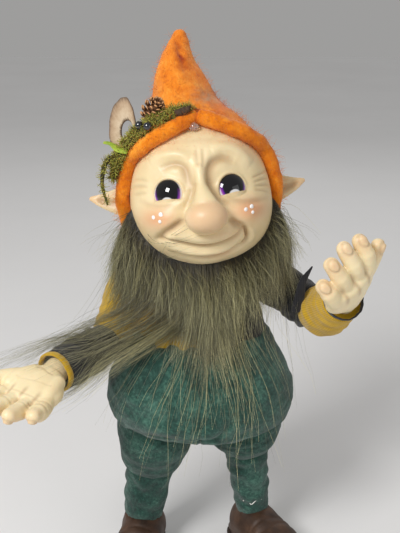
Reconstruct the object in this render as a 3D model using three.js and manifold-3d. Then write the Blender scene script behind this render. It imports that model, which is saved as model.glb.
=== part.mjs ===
// An elf figurine: a wire-framed art doll with a modelled clay head, hands and shoes, a felt
// pointed hat dressed with moss and a cone, a long hair beard, and a stuffed cloth body.
// Millimetres, +Z up, the figure faces -Y. Its own right side is -X.
import * as THREE from 'three';
import { mergeVertices } from 'three/addons/utils/BufferGeometryUtils.js';
import Module from 'manifold-3d';

const wasm = await Module();
wasm.setup();

// Clearances
const seatGap = 0.35; // between two pieces that touch
const jointGap = 0.5; // round a padded end that turns in its neighbour
const wireGap = 0.3; // round the frame's wire

// Shoes and legs, the figure's right one first
const soleThickness = 3;
const soleWidth = 29;
const shoeLength = 54;
const shoeRise = 19; // from the sole to the instep
const ankleRadii = [9, 7.5];
const ankleHeight = 24;
const toesOut = [6, 30]; // degrees
const heelBehindAnkle = 13;
const ankleSpreads = [31, 29]; // each ankle from the middle
const feetForward = [6, 1];
const cuffLengths = [25, 35];
const cuffRadii = [12.8, 11.8];
const hemOverhang = 4.5; // how far a trouser leg stands out over its cuff
const thighRadius = 20.5;
const thighForward = 1.5; // of the knee's puff
const hipHeight = 80;
const hipSpread = 22.5;
const hipBallRadius = 20.5;
const hipSwing = [-12, 20]; // degrees back and forward
const hipWireRise = 18; // the wire between the legs arches over the hips

// Stuffed body: outside of the clothes
const crotchHeight = 81;
const bellyHeight = 96;
const bellyHalfWidth = 48;
const bellyHalfDepth = 38;
const bellyForward = 5;
const waistHeight = 133;
const waistHalfWidth = 33;
const waistHalfDepth = 25;
const collarHeight = 164.5;
const collarRadius = 10.5;
const chestHeight = waistHeight + (collarHeight - waistHeight) * 0.41;
const chestHalfWidth = 29;
const chestHalfDepth = 20;
const shoulderHeight = waistHeight + (collarHeight - waistHeight) * 0.76;
const shoulderSpread = 33.5;
const clothThickness = 2;
const neckIntoCollar = 4;

// Arms
const upperArmLength = 32;
const forearmLength = 40;
const shoulderBallRadius = 11.5;
const elbowBallRadius = 9.4;
const forearmSwell = [0.6, 3.4]; // the middle of each sleeve over its elbow
const wristSleeveRadius = 9.8;
const elbowBend = [-40, 20]; // degrees straighter and more bent
const armLift = [[0, 70], [-20, 40]]; // degrees down and up
const upperArmDirections = [[-10.5, -9, -32], [23.5, 1, -17.5]];
const forearmDirections = [[-20, -31, -0.5], [6.5, -36, 21]];
const sleeveRim = 1.7; // the upper sleeve's end over the elbow's radius
const sleeveSetback = 3; // from the elbow's centre
const cuffTrimThickness = 1.5;
const cuffTrimWidth = 3.4;
const wireRadius = 1.1;
const wireSides = 6;

// Hands
const handLength = 44;
const palmHalfWidth = 13.5;
const palmHalfThickness = 6.2;
const fingerRadius = 3.9;
const wristRadius = 6.2;
const wristDepth = 8; // into the sleeve
const handFromWrist = 4;
const palmShare = 0.52; // of the hand's length
const fingerShares = [0.82, 0.96, 1, 0.93]; // of the hand's length, little finger first
const fingerFan = 12; // degrees, from the middle to an outer finger
const handPoses = [
  { along: [-0.44, -0.86, -0.18], palm: [0.02, -0.2, 0.97], curl: 24, thumb: -1 },
  { along: [-0.02, -0.78, 0.62], palm: [-0.676, 0.55, 0.477], curl: 48, thumb: 1 },
];

// Head
const headAboveCollar = 35.5;
const headForward = 3;
const headHalfWidth = 33;
const headHalfDepth = 31;
const crownHeight = 39;
const chinDrop = 32.5;
const headTiltBack = 15; // degrees
const headLean = 4; // towards its own right
const headTurn = 4; // towards its own left
const neckRadius = 8;
const neckPostRadius = 3;
const neckPostInHead = 20;
const neckAxisY = 3;
const noseHalfWidth = 10.2;
const noseReach = 11.5;
const noseDrop = 9.6;
const eyeRadius = 8.2;
const eyeSpreads = [16.2, 13.2]; // the modelled face is a little lopsided
const eyeRise = 4;
const eyeCentreY = -18.2;
const earReach = 53; // tip from the middle of the head
const earHalfHeight = 7.2;
const earHalfThickness = 3;
const earRise = 1;

// Hat
const feltThickness = 2.6;
const brimRadius = 3.5;
const edgeFrontLift = 59; // degrees above the middle of the head, over the brow
const edgeSlope = 0.4; // lift lost for each degree round from the front
const edgeBackLift = -30;
const edgeTurnsDown = [74, 108]; // degrees from the front
const hatHeight = 79; // tip above the middle of the head
const hatBaseRadius = 30;
const hatTipRadius = 3.2;

// Hat dressing
const coneLength = 12.5;
const coneRadius = 5.6;
const coneScales = 28;
const coneScaleRadius = 1.7;
const fungusHalfWidth = 6.6;
const fungusHalfHeight = 12.4;
const fungusThickness = 1.8;
const fungusHoleHalfWidth = 2.9;
const fungusHoleHalfHeight = 4.6;
const beadRadius = 2;
const glueRadius = 2.1;
// Places on the hat: degrees round from the front, degrees up, and the distance off the head.
const mossPlaces = [
  [-6, 60, 6.2],
  [-26, 55, 6.2],
  [-40, 50, 6.5],
  [-55, 43.5, 6.8],
  [-66, 36, 7.5],
  [-76, 26, 8.5],
  [-82, 15, 8.5],
];
const mossSizes = [[2.4, 2], [3.4, 2.8], [3.8, 3.2], [3.8, 3.4], [3.4, 3], [3, 2.6], [2, 1.8]];
const mossTufts = 8;
const tuftLength = 5.5;
const tuftRadius = 1.2;
const trailPlaces = [[-76, 27, 8.5], [-76, 22, 13.5], [-76, 11, 14], [-74, 0, 12]];
const trailSizes = [[2.2, 2], [1.5, 1.5], [1.1, 1.1], [0.5, 0.5]];
const conePlace = [-47, 54, 10.6];
const coneTilt = [62, 28]; // degrees forward, then round
const slicePlace = [-72, 42, 14];
const sliceTilt = [10, -24]; // degrees over, then round
const beadPlaces = [[-54, 43.4, 10.4], [-44.5, 42.8, 9.4]];
const twigPlaces = [[-20.4, 52.2, 8.3], [-12.4, 53.8, 8.3], [-4.9, 57.3, 8.3]];
const twigSizes = [[1.3, 1.3], [1.7, 1.6], [0.7, 0.6]];
const bladePlaces = [[-66, 30, 7.5], [-70, 29.3, 11], [-76.5, 31.2, 14], [-78.8, 30.5, 17]];
const bladeSizes = [[1.5, 1], [1.6, 0.9], [1.3, 0.8], [0.8, 0.7]];
const gluePlace = [-3, 50, 1.9];

// Beard
const beardLength = 74; // from the chin
const lockHalfWidth = 6.5;
const lockHalfThickness = 4.5;
const locksForward = 12; // how far the tips stand in front of the roots
const chinLockTurns = [-40, -24, -8, 8, 24, 40]; // degrees round the jaw
const chinLockLift = -62;
// Side locks: degrees round the jaw, degrees up, and the share of the beard's length.
const rightLocks = [[-88, -24, 0.5], [-74, -34, 0.62], [-58, -42, 0.78]];
const leftLocks = [[88, -24, 0.6], [74, -34, 0.72], [58, -42, 0.82]];

const rad = THREE.MathUtils.degToRad;
const vec = (x, y, z) => new THREE.Vector3(x, y, z);
const yAxis = vec(0, 1, 0);
const zAxis = vec(0, 0, 1);

const material = (color, roughness, metalness = 0) =>
  new THREE.MeshStandardMaterial({ color, roughness, metalness });
const finishes = {
  clay: material(0xe8cfa4, 0.5),
  eye: material(0x17131f, 0.08),
  feltOrange: material(0xe0701a, 0.95),
  feltBrim: material(0xe67a14, 0.95),
  hair: material(0x5f5c3c, 0.7),
  moss: material(0x6a7428, 0.95),
  blade: material(0x7fa02a, 0.6),
  cone: material(0x6f4a30, 0.85),
  fungus: material(0xb49b80, 0.9),
  bead: material(0x3c4650, 0.1),
  glue: material(0xe8dcd0, 0.15),
  twig: material(0x4a382a, 0.9),
  knitYellow: material(0xc99a1c, 0.9),
  knitBlack: material(0x1b1b1d, 0.9),
  fleece: material(0x1f4a3e, 0.98),
  shoe: material(0x3f2a1c, 0.55),
  sole: material(0x2c1e15, 0.8),
  padding: material(0xe9e6df, 0.98),
  wire: material(0x8f9296, 0.35, 1),
  dowel: material(0xc9a878, 0.7),
};

// Turns the faces outwards, whichever way the rings were laid.
function facingOut(points, faces) {
  let volume = 0;
  const cross = vec(0, 0, 0);
  for (let i = 0; i < faces.length; i += 3) {
    const [a, b, c] = [points[faces[i]], points[faces[i + 1]], points[faces[i + 2]]];
    volume += a.dot(cross.crossVectors(b, c));
  }
  if (volume < 0) faces.reverse();
  const geometry = new THREE.BufferGeometry().setFromPoints(points);
  return geometry.setIndex(faces);
}

// A closed skin over rings of points, from one pole to the other.
function skin(first, rings, last) {
  const sides = rings[0].length;
  const points = [first, ...rings.flat(), last];
  const at = (row, side) => 1 + row * sides + (side % sides);
  const faces = [];
  const end = points.length - 1;
  for (let side = 0; side < sides; side++) {
    faces.push(0, at(0, side + 1), at(0, side));
    for (let row = 0; row < rings.length - 1; row++) {
      faces.push(at(row, side), at(row, side + 1), at(row + 1, side));
      faces.push(at(row, side + 1), at(row + 1, side + 1), at(row + 1, side));
    }
    faces.push(end, at(rings.length - 1, side), at(rings.length - 1, side + 1));
  }
  return facingOut(points, faces);
}

// A padded or modelled length: oval rings across a smooth line, closed by domed ends.
// Each size is [half-width across, half-height], spaced evenly along the line.
function limb(line, sizes, { sides = 10, steps = 5, dome = 1, rootDome = dome, grow = 0, up = zAxis } = {}) {
  const curve = new THREE.CatmullRomCurve3(line);
  const widths = new THREE.CatmullRomCurve3(sizes.map(([a, b]) => vec(a, b, 0)));
  const ringAt = (t, scale, push) => {
    const tangent = curve.getTangentAt(t);
    const across = vec(0, 0, 0).crossVectors(tangent, up).normalize();
    const rise = vec(0, 0, 0).crossVectors(across, tangent);
    const size = sizes.length > 1 ? widths.getPoint(t) : vec(...sizes[0], 0);
    const centre = curve.getPointAt(t).addScaledVector(tangent, push * Math.min(size.x, size.y));
    centre.addScaledVector(tangent, Math.sign(push || t - 0.5) * (t === 0 || t === 1 ? grow : 0));
    return Array.from({ length: sides }, (_, side) => {
      const angle = (2 * Math.PI * side) / sides;
      return centre
        .clone()
        .addScaledVector(across, scale * (size.x + grow) * Math.cos(angle))
        .addScaledVector(rise, scale * (size.y + grow) * Math.sin(angle));
    });
  };
  const cap = (t, sign, height) =>
    (height > 0 ? [34, 66] : []).map((angle) =>
      ringAt(t, Math.cos(rad(angle)), sign * height * Math.sin(rad(angle))));
  const rings = [
    ...cap(0, -1, rootDome).reverse(),
    ...Array.from({ length: steps + 1 }, (_, step) => ringAt(step / steps, 1, 0)),
    ...cap(1, 1, dome),
  ];
  const pole = (t, sign) => {
    const [wide, high] = t === 0 ? sizes[0] : sizes[sizes.length - 1];
    const reach = (t === 0 ? rootDome : dome) * Math.min(wide, high) + grow;
    return curve.getPointAt(t).addScaledVector(curve.getTangentAt(t), sign * reach);
  };
  return skin(pole(0, -1), rings, pole(1, 1));
}

// Sizes of round rings, for a limb.
const circles = (...radii) => radii.map((radius) => [radius, radius]);

const ball = (centre, radius, sides = 14, rows = 8) =>
  new THREE.SphereGeometry(radius, sides, rows).translate(...centre);

const rod = (from, to, radius, sides = 8) =>
  limb([from, to], circles(radius), {
    sides,
    steps: 1,
    dome: 0,
    up: Math.abs(to.clone().sub(from).normalize().z) > 0.9 ? yAxis : zAxis,
  });

function toSolid(geometry) {
  const bare = new THREE.BufferGeometry().setAttribute('position', geometry.getAttribute('position'));
  const merged = mergeVertices(bare.setIndex(geometry.index), 1e-4);
  const mesh = new wasm.Mesh({
    numProp: 3,
    vertProperties: new Float32Array(merged.attributes.position.array),
    triVerts: new Uint32Array(merged.index.array),
  });
  return new wasm.Manifold(mesh);
}

function toGeometry(solid) {
  const mesh = solid.getMesh();
  const geometry = new THREE.BufferGeometry();
  geometry.setAttribute('position', new THREE.BufferAttribute(mesh.vertProperties, 3));
  return geometry.setIndex(new THREE.BufferAttribute(mesh.triVerts, 1));
}

const largest = (solid) =>
  solid.decompose().reduce((most, each) => (each.volume() > most.volume() ? each : most));

const join = (...geometries) =>
  toGeometry(geometries.map(toSolid).reduce((sum, each) => sum.add(each)));

const carve = (geometry, ...cutters) =>
  toGeometry(largest(cutters.map(toSolid).reduce((rest, each) => rest.subtract(each), toSolid(geometry))));

const common = (geometry, other) => toGeometry(largest(toSolid(geometry).intersect(toSolid(other))));

// Copies of a geometry turned about a line, to clear the way of a joint.
const swept = (geometry, pivot, axis, angles) =>
  angles.map((angle) =>
    geometry
      .clone()
      .translate(-pivot.x, -pivot.y, -pivot.z)
      .applyMatrix4(new THREE.Matrix4().makeRotationAxis(axis, rad(angle)))
      .translate(pivot.x, pivot.y, pivot.z),
  );

const figure = new THREE.Group();
const headGroup = new THREE.Group();
const headCentre = vec(0, -headForward, collarHeight + headAboveCollar);
headGroup.position.copy(headCentre);
headGroup.rotation.set(rad(-headTiltBack), rad(-headLean), rad(headTurn), 'ZXY');
headGroup.updateMatrix();
const toHead = headGroup.matrix.clone().invert();
figure.add(headGroup);

function piece(name, geometry, finish, parent = figure) {
  const mesh = new THREE.Mesh(geometry, finish);
  mesh.name = name;
  parent.add(mesh);
  return mesh;
}

// Body

// The outside of the clothes, let in or out by a distance, between two heights.
function bodyForm(offset, low, high, sides = 16) {
  const levels = [
    [crotchHeight, bellyHalfWidth * 0.5, bellyHalfDepth * 0.45, bellyForward * 0.6],
    [crotchHeight + 2, bellyHalfWidth * 0.78, bellyHalfDepth * 0.76, bellyForward],
    [crotchHeight + 6.5, bellyHalfWidth * 0.94, bellyHalfDepth * 0.93, bellyForward],
    [bellyHeight, bellyHalfWidth, bellyHalfDepth, bellyForward],
    [bellyHeight + 11, bellyHalfWidth * 0.97, bellyHalfDepth * 0.97, bellyForward],
    [bellyHeight + 22, bellyHalfWidth * 0.86, bellyHalfDepth * 0.86, bellyForward * 0.8],
    [waistHeight, waistHalfWidth, waistHalfDepth, bellyForward * 0.3],
    [chestHeight, chestHalfWidth, chestHalfDepth, 0],
    [shoulderHeight, chestHalfWidth * 0.82, chestHalfDepth * 0.8, -neckAxisY * 0.6],
    [collarHeight, collarRadius, collarRadius, -neckAxisY],
  ];
  const sizeAt = (height) => {
    const upper = Math.max(1, levels.findIndex(([level]) => level >= height));
    const [a, b] = [levels[upper - 1], levels[upper]];
    const share = THREE.MathUtils.clamp((height - a[0]) / (b[0] - a[0]), 0, 1);
    return a.map((value, i) => THREE.MathUtils.lerp(value, b[i], share));
  };
  const between = levels.map(([level]) => level).filter((level) => level > low + 0.5 && level < high - 0.5);
  const rings = [low, ...between, high].map((height) => {
    const [, wide, deep, forward] = sizeAt(height);
    return Array.from({ length: sides }, (_, side) => {
      const angle = (2 * Math.PI * side) / sides;
      return vec((wide + offset) * Math.cos(angle), -forward + (deep + offset) * Math.sin(angle), height);
    });
  });
  return skin(vec(0, -sizeAt(low)[3], low), rings, vec(0, -sizeAt(high)[3], high));
}

const hips = [-1, 1].map((side) => vec(side * hipSpread, 0, hipHeight));
const ankles = [-1, 1].map((side, i) => vec(side * ankleSpreads[i], -feetForward[i], ankleHeight));
const shoulders = [-1, 1].map((side) => vec(side * shoulderSpread, neckAxisY, shoulderHeight));
const upperArmWays = upperArmDirections.map((way) => vec(...way).normalize());
const forearmWays = forearmDirections.map((way) => vec(...way).normalize());
const elbows = shoulders.map((at, i) => at.clone().addScaledVector(upperArmWays[i], upperArmLength));
const wrists = elbows.map((at, i) => at.clone().addScaledVector(forearmWays[i], forearmLength));
const elbowAxes = elbows.map((_, i) =>
  vec(0, 0, 0).crossVectors(upperArmWays[i], forearmWays[i]).normalize(),
);
const sideNames = ['right', 'left'];

const hipRoom = hips.map((at) => ball(at, hipBallRadius + jointGap + 0.9, 16, 8));
const shoulderRoom = shoulders.map((at) => ball(at, shoulderBallRadius + jointGap + 0.2));
const clothesRoom = bodyForm(jointGap, crotchHeight, collarHeight, 24);

// A leg's padded cloth from hip to cuff, which hangs over the tighter cuff below it.
function thigh(i, grow = 0) {
  const [hip, ankle] = [hips[i], ankles[i]];
  const hemRadius = cuffRadii[i] + hemOverhang;
  const low = ankle.clone().lerp(hip, (cuffLengths[i] + hemRadius * 0.7) / (hipHeight - ankleHeight));
  const bulge = hip.clone().lerp(low, 0.6).add(vec(0, -thighForward, 0));
  return limb(
    [hip, bulge, low],
    circles(hipBallRadius, thighRadius, hemRadius),
    { sides: 18, steps: 4, dome: 1, grow, up: yAxis },
  );
}

function trouserCuff(i, grow = 0) {
  const ankle = ankles[i];
  const top = ankle.clone().lerp(hips[i], cuffLengths[i] / (hipHeight - ankleHeight));
  return limb(
    [ankle.clone().add(vec(0, 0, -1)), ankle.clone().lerp(top, 0.5), top],
    circles(ankleRadii[i] + 1, cuffRadii[i] - 0.5, cuffRadii[i]),
    { sides: 16, steps: 4, dome: 0, grow, up: yAxis },
  );
}

function buildTorso() {
  const neckPost = rod(
    vec(0, neckAxisY, waistHeight),
    vec(0, neckAxisY, collarHeight + neckPostInHead),
    neckPostRadius,
    12,
  );
  const postRoom = rod(
    vec(0, neckAxisY, waistHeight - 1),
    vec(0, neckAxisY, collarHeight + 60),
    neckPostRadius + wireGap,
    12,
  );
  const neckRoom = rod(
    vec(0, neckAxisY, collarHeight - neckIntoCollar - seatGap),
    vec(0, neckAxisY, collarHeight + 9),
    neckRadius + jointGap,
    20,
  );
  const wireThrough = (ends, middle, clear, radius) => {
    const [from, to] = ends.map((at) => at.clone().lerp(middle, clear / at.distanceTo(middle)));
    return limb([from, middle, to], circles(radius), { sides: wireSides, steps: 4, dome: 0 });
  };
  const hipMiddle = vec(0, 2, hipHeight + hipWireRise);
  const shoulderMiddle = vec(0, neckAxisY + 6, shoulderHeight - 5);
  const hipWire = (radius) => wireThrough(hips, hipMiddle, hipBallRadius + jointGap - 1, radius);
  const shoulderWire = (radius) =>
    wireThrough(shoulders, shoulderMiddle, shoulderBallRadius + jointGap - 1, radius);
  const wireRooms = [hipWire(wireRadius + wireGap), shoulderWire(wireRadius + wireGap)];
  const paddedShoulderRoom = shoulders.map((at) => ball(at, shoulderBallRadius + 2, 10, 6));

  const inner = bodyForm(-clothThickness - seatGap, crotchHeight + clothThickness + 1, collarHeight - 2);
  const paddingRoom = hips.map((at) => ball(at, hipBallRadius + 4, 10, 6));
  const padding = carve(inner, postRoom, neckRoom, ...paddingRoom, ...paddedShoulderRoom, ...wireRooms);
  piece('body_padding', padding, finishes.padding);
  piece('neck_dowel', neckPost, finishes.dowel);
  piece('hip_wire', carve(hipWire(wireRadius), ...hipRoom), finishes.wire);
  piece('shoulder_wire', carve(shoulderWire(wireRadius), ...shoulderRoom), finishes.wire);

  const room = bodyForm(-clothThickness, crotchHeight + clothThickness, collarHeight - 1);
  const swings = [0, hipSwing[1] / 2, hipSwing[1]];
  const thighWay = hips.flatMap((at, i) => swept(thigh(i, jointGap), at, vec(-1, 0, 0), swings));
  const cutInside = [room, ...hipRoom, ...thighWay];
  const seat = bodyForm(0, crotchHeight, waistHeight, 22);
  piece('trouser_seat', carve(seat, ...cutInside), finishes.fleece);
  const shirt = bodyForm(-0.4, waistHeight + seatGap, collarHeight, 22);
  const halfBox = (side) =>
    new THREE.BoxGeometry(100, 100, 100).translate(side * (50 + seatGap / 2), 0, shoulderHeight);
  const openings = [neckRoom, wireRooms[1], room, ...shoulderRoom];
  piece('shirt_right_half', carve(common(shirt, halfBox(-1)), ...openings), finishes.knitYellow);
  piece('shirt_left_half', carve(common(shirt, halfBox(1)), ...openings), finishes.knitBlack);
}

function buildLeg(i) {
  const side = sideNames[i];
  const ankle = ankles[i];
  const wireFoot = ankle.clone().setZ(soleThickness + 6);
  const wire = { sides: wireSides, steps: 1, dome: 0, up: yAxis };
  const wireRoom = limb([hips[i], wireFoot], circles(wireRadius + wireGap), wire);
  const wireTop = hips[i].clone().lerp(ankle, 0.04);
  const legWire = limb([wireTop, wireFoot.clone().add(vec(0, 0, 1))], circles(wireRadius), wire);
  piece(`${side}_leg_wire`, legWire, finishes.wire);
  piece(`${side}_trouser_leg`, carve(thigh(i), trouserCuff(i, seatGap), wireRoom), finishes.fleece);
  piece(`${side}_trouser_cuff`, carve(trouserCuff(i), wireRoom), finishes.fleece);

  const turn = (geometry) =>
    geometry.rotateZ((i === 0 ? -1 : 1) * rad(toesOut[i])).translate(ankle.x, ankle.y, 0);
  const toe = heelBehindAnkle - shoeLength;
  const middle = soleThickness + shoeRise * 0.42;
  const half = soleWidth / 2;
  const foot = limb(
    [
      vec(0, heelBehindAnkle - half * 0.7, middle + 1),
      vec(0, 0, middle + 2),
      vec(0, toe * 0.45, middle),
      vec(0, toe + half * 0.75, middle - 1),
    ],
    [
      [half * 0.78, shoeRise * 0.58],
      [half * 0.84, shoeRise * 0.64],
      [half, shoeRise * 0.56],
      [half * 0.86, shoeRise * 0.42],
    ],
    { sides: 14, steps: 4, dome: 0.8 },
  );
  const throat = limb(
    [vec(0, 0, middle), vec(0, 0, ankleHeight - 1 - seatGap)],
    circles(ankleRadii[i] + 2.5, ankleRadii[i]),
    { sides: 12, steps: 1, dome: 0, up: yAxis },
  );
  const ground = new THREE.BoxGeometry(200, 200, 40).translate(0, 0, soleThickness + seatGap - 20);
  const upper = turn(carve(join(foot, throat), ground));
  piece(`${side}_shoe`, carve(upper, wireRoom, trouserCuff(i, seatGap)), finishes.shoe);

  const outline = new THREE.Shape();
  const heel = heelBehindAnkle + 1;
  outline.moveTo(0, heel);
  outline.bezierCurveTo(half * 0.85, heel, half * 0.78, 0, half * 0.84, toe * 0.25);
  outline.bezierCurveTo(half * 1.15, toe * 0.6, half * 0.95, toe - 1, 0, toe - 1);
  outline.bezierCurveTo(-half * 0.95, toe - 1, -half * 1.15, toe * 0.6, -half * 0.84, toe * 0.25);
  outline.bezierCurveTo(-half * 0.78, 0, -half * 0.85, heel, 0, heel);
  const flat = { depth: soleThickness, bevelEnabled: false, curveSegments: 6 };
  piece(`${side}_sole`, turn(new THREE.ExtrudeGeometry(outline, flat)), finishes.sole);
}

// Arms

const along = (from, way, distance) => from.clone().addScaledVector(way, distance);

function forearmSleeve(i, grow = 0, sides = 16, steps = 4) {
  const end = along(wrists[i], forearmWays[i], 1);
  const sag = vec(0, 0, -forearmSwell[i] * 0.6);
  return limb(
    [elbows[i], elbows[i].clone().lerp(end, 0.55).add(sag), end],
    circles(elbowBallRadius, elbowBallRadius + forearmSwell[i], wristSleeveRadius),
    { sides, steps, dome: 1, grow, up: i === 0 ? zAxis : vec(1, 0, 0) },
  );
}

// The upper sleeve's open end stands a little proud of the forearm that turns in it.
function sleeveForm(i, grow = 0) {
  return limb(
    [shoulders[i], along(elbows[i], upperArmWays[i], -sleeveSetback)],
    circles(shoulderBallRadius, elbowBallRadius + sleeveRim),
    { sides: 14, steps: 2, dome: 0, rootDome: 1, grow, up: vec(1, 0.1, 0) },
  );
}

// A hand along +X with its palm to +Z, its wrist at the origin, and its thumb to one side in Y.
function hand(side, curl) {
  const palmEnd = handLength * palmShare;
  const knuckles = palmEnd * 0.9;
  const bend = rad(curl);
  const wrist = limb(
    [vec(-1, 0, 0), vec(handLength * 0.16, 0, 0)],
    [[wristRadius, wristRadius * 0.95]],
    { sides: 10, steps: 1, dome: 0 },
  );
  const palm = limb(
    [vec(handLength * 0.1, 0, 0), vec(palmEnd * 0.55, 0, 0.5), vec(palmEnd, 0, 1)],
    [
      [palmHalfWidth * 0.62, palmHalfThickness],
      [palmHalfWidth, palmHalfThickness],
      [palmHalfWidth * 0.94, palmHalfThickness * 0.8],
    ],
    { sides: 11, steps: 3, dome: 0.7 },
  );
  const fingers = fingerShares.map((share, finger) => {
    const spread = (side * (finger - 1.5)) / 1.5;
    const fan = spread * rad(fingerFan);
    const knuckle = vec(knuckles, spread * (palmHalfWidth - fingerRadius * 0.9), 1);
    const length = handLength * share - knuckles - fingerRadius;
    const way = (angle) =>
      vec(Math.cos(angle) * Math.cos(fan), Math.cos(angle) * Math.sin(fan), Math.sin(angle));
    const joint = along(knuckle, way(bend * 0.5), length * 0.5);
    const tip = along(joint, way(bend), length * 0.5);
    return limb(
      [knuckle, joint, tip],
      circles(fingerRadius, fingerRadius * 0.98, fingerRadius * 0.84),
      { sides: 7, steps: 2, rootDome: 0 },
    );
  });
  const thumb = limb(
    [
      vec(handLength * 0.2, side * palmHalfWidth * 0.55, 1),
      vec(handLength * 0.38, side * palmHalfWidth * 1.25, 3),
      vec(handLength * 0.56, side * palmHalfWidth * 1.5, 4.5),
    ],
    circles(fingerRadius * 1.28, fingerRadius * 1.02, fingerRadius * 0.78),
    { sides: 7, steps: 3, rootDome: 0 },
  );
  return join(wrist, palm, ...fingers, thumb);
}

function buildUpperArm(i) {
  const wire = { sides: wireSides, steps: 1, dome: 0, up: vec(1, 0.1, 0) };
  const bendRadius = elbowBallRadius + forearmSwell[i] + jointGap + 0.3;
  const forearmAt = (angle) => {
    const turned = forearmWays[i].clone().applyAxisAngle(elbowAxes[i], rad(angle));
    return rod(elbows[i], along(elbows[i], turned, forearmLength * 0.85), bendRadius, 12);
  };
  const elbowRoom = ball(elbows[i], elbowBallRadius + jointGap + 0.4);
  const sleeveRoom = [elbowRoom, forearmAt(0), forearmAt(elbowBend[1])];
  const shell = carve(clothesRoom, ball(shoulders[i], shoulderBallRadius + jointGap));
  const liftAxis = vec(0, i === 0 ? 1 : -1, 0);
  const besideBody = swept(shell, shoulders[i], liftAxis, [0, -armLift[i][0] / 2, -armLift[i][0]]);
  const wireRoom = limb([shoulders[i], elbows[i]], circles(wireRadius + wireGap), wire);
  const sleeve = carve(sleeveForm(i), ...besideBody, ...sleeveRoom, wireRoom);
  piece(`${sideNames[i]}_upper_sleeve`, sleeve, i === 0 ? finishes.knitYellow : finishes.knitBlack);
  const wireEnd = elbowBallRadius + forearmSwell[i] + wireRadius;
  const wireLine = [along(shoulders[i], upperArmWays[i], 2.5), along(elbows[i], upperArmWays[i], -wireEnd)];
  piece(`${sideNames[i]}_upper_arm_wire`, limb(wireLine, circles(wireRadius), wire), finishes.wire);
}

function buildForearm(i) {
  const side = sideNames[i];
  const [elbow, wrist, way] = [elbows[i], wrists[i], forearmWays[i]];
  const wire = { sides: wireSides, steps: 1, dome: 0, up: vec(1, 0.1, 0) };
  const wireRoom = limb([elbow, wrist], circles(wireRadius + wireGap), wire);
  const mouth = rod(
    along(wrist, way, -wristDepth - seatGap),
    along(wrist, way, 20),
    wristRadius + jointGap + 0.2,
    12,
  );
  const pastSleeve = rod(along(wrist, way, 1), along(wrist, way, 60), 60);
  const bends = [elbowBend[0], elbowBend[0] * 0.5, 0, elbowBend[1] * 0.5, elbowBend[1]];
  const wayPastBody = i === 0 ? swept(clothesRoom, elbow, elbowAxes[i], bends.map((angle) => -angle)) : [];
  const sleeve = carve(forearmSleeve(i), pastSleeve, mouth, wireRoom, ...wayPastBody);
  const [sleeveFinish, trimFinish] = i === 0
    ? [finishes.knitBlack, finishes.knitYellow]
    : [finishes.knitYellow, finishes.knitBlack];
  piece(`${side}_forearm_sleeve`, sleeve, sleeveFinish);
  const wireLine = [along(elbow, way, 1.5), along(wrist, way, -1)];
  piece(`${side}_forearm_wire`, limb(wireLine, circles(wireRadius), wire), finishes.wire);

  const trimFrom = along(wrist, way, 1 + seatGap);
  const trimTo = along(trimFrom, way, cuffTrimWidth);
  const trim = rod(trimFrom, trimTo, wristSleeveRadius + 0.4, 16);
  const trimHole = rod(wrist, along(wrist, way, 20), wristSleeveRadius - cuffTrimThickness, 12);
  piece(`${side}_cuff`, carve(trim, trimHole), trimFinish);

  const { along: fingersWay, palm, curl, thumb } = handPoses[i];
  const x = vec(...fingersWay).normalize();
  const y = vec(0, 0, 0).crossVectors(vec(...palm), x).normalize();
  const z = vec(0, 0, 0).crossVectors(x, y);
  const place = new THREE.Matrix4().makeBasis(x, y, z).setPosition(along(wrist, way, handFromWrist));
  const trimRoom = rod(wrist, along(trimTo, way, seatGap), wristSleeveRadius + 30);
  const stub = rod(along(wrist, way, -wristDepth), along(trimTo, way, 2.5), wristRadius, 12);
  const outside = carve(hand(thumb, curl).applyMatrix4(place), trimRoom);
  piece(`${side}_hand`, carve(join(outside, stub), wireRoom), finishes.clay);
}

// Head

// How far the modelled face stands out of the plain head at a place seen from the front.
function faceRelief(x, z) {
  const bump = (cx, cz, wide, high, rise) =>
    rise * Math.exp(-(((Math.abs(x) - cx) / wide) ** 2) - ((z - cz) / high) ** 2);
  const smile = -24 + 5.4 * (x / 20.5) ** 2;
  const lipFade = Math.exp(-((x / 17) ** 4));
  const groove = -1.9 * Math.exp(-(((z - smile) / 1.3) ** 2)) * Math.exp(-((x / 21) ** 8));
  const lip = 1.7 * Math.exp(-(((z - smile + 3.2) / 1.9) ** 2)) * lipFade;
  const foldX = 10 + 11 * THREE.MathUtils.clamp((-12 - z) / 8, 0, 1);
  const fold = -1.6 * Math.exp(-(((Math.abs(x) - foldX) / 2.2) ** 2)) * Math.exp(-(((z + 16) / 4.5) ** 2));
  return (
    groove + lip + fold +
    bump(15, 15, 10, 4.5, 2.6) + // brow
    bump(9.5, 9.5, 4.2, 5, -3.6) + // hollow beside the bridge
    bump(eyeSpreads[x < 0 ? 0 : 1], eyeRise + 2, 7.5, 5.5, -2.4) + // eye socket
    bump(eyeSpreads[x < 0 ? 0 : 1], eyeRise - 7.2, 8, 2.6, 1.7) + // lower lid
    bump(0, 6, 3.6, 10, 3.2) + // bridge of the nose
    bump(19, -9.5, 8.5, 6.5, 4.2) + // cheek
    bump(0, -19, 12, 3.6, 2.2) + // upper lip
    bump(0, -30.5, 9, 4, 3.2) // chin
  );
}

// The way out of the head at a turn round from the front and a lift, in radians.
const headWay = (turn, lift) =>
  vec(Math.cos(lift) * Math.sin(turn), -Math.cos(lift) * Math.cos(turn), Math.sin(lift));

// A place on the head or off it.
function onHead(turn, lift, out) {
  const way = headWay(turn, lift);
  const high = way.z > 0 ? crownHeight : chinDrop;
  return vec(way.x * (headHalfWidth + out), way.y * (headHalfDepth + out), way.z * (high + out));
}

const onHat = ([turn, lift, out]) => onHead(rad(turn), rad(lift), out);

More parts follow.
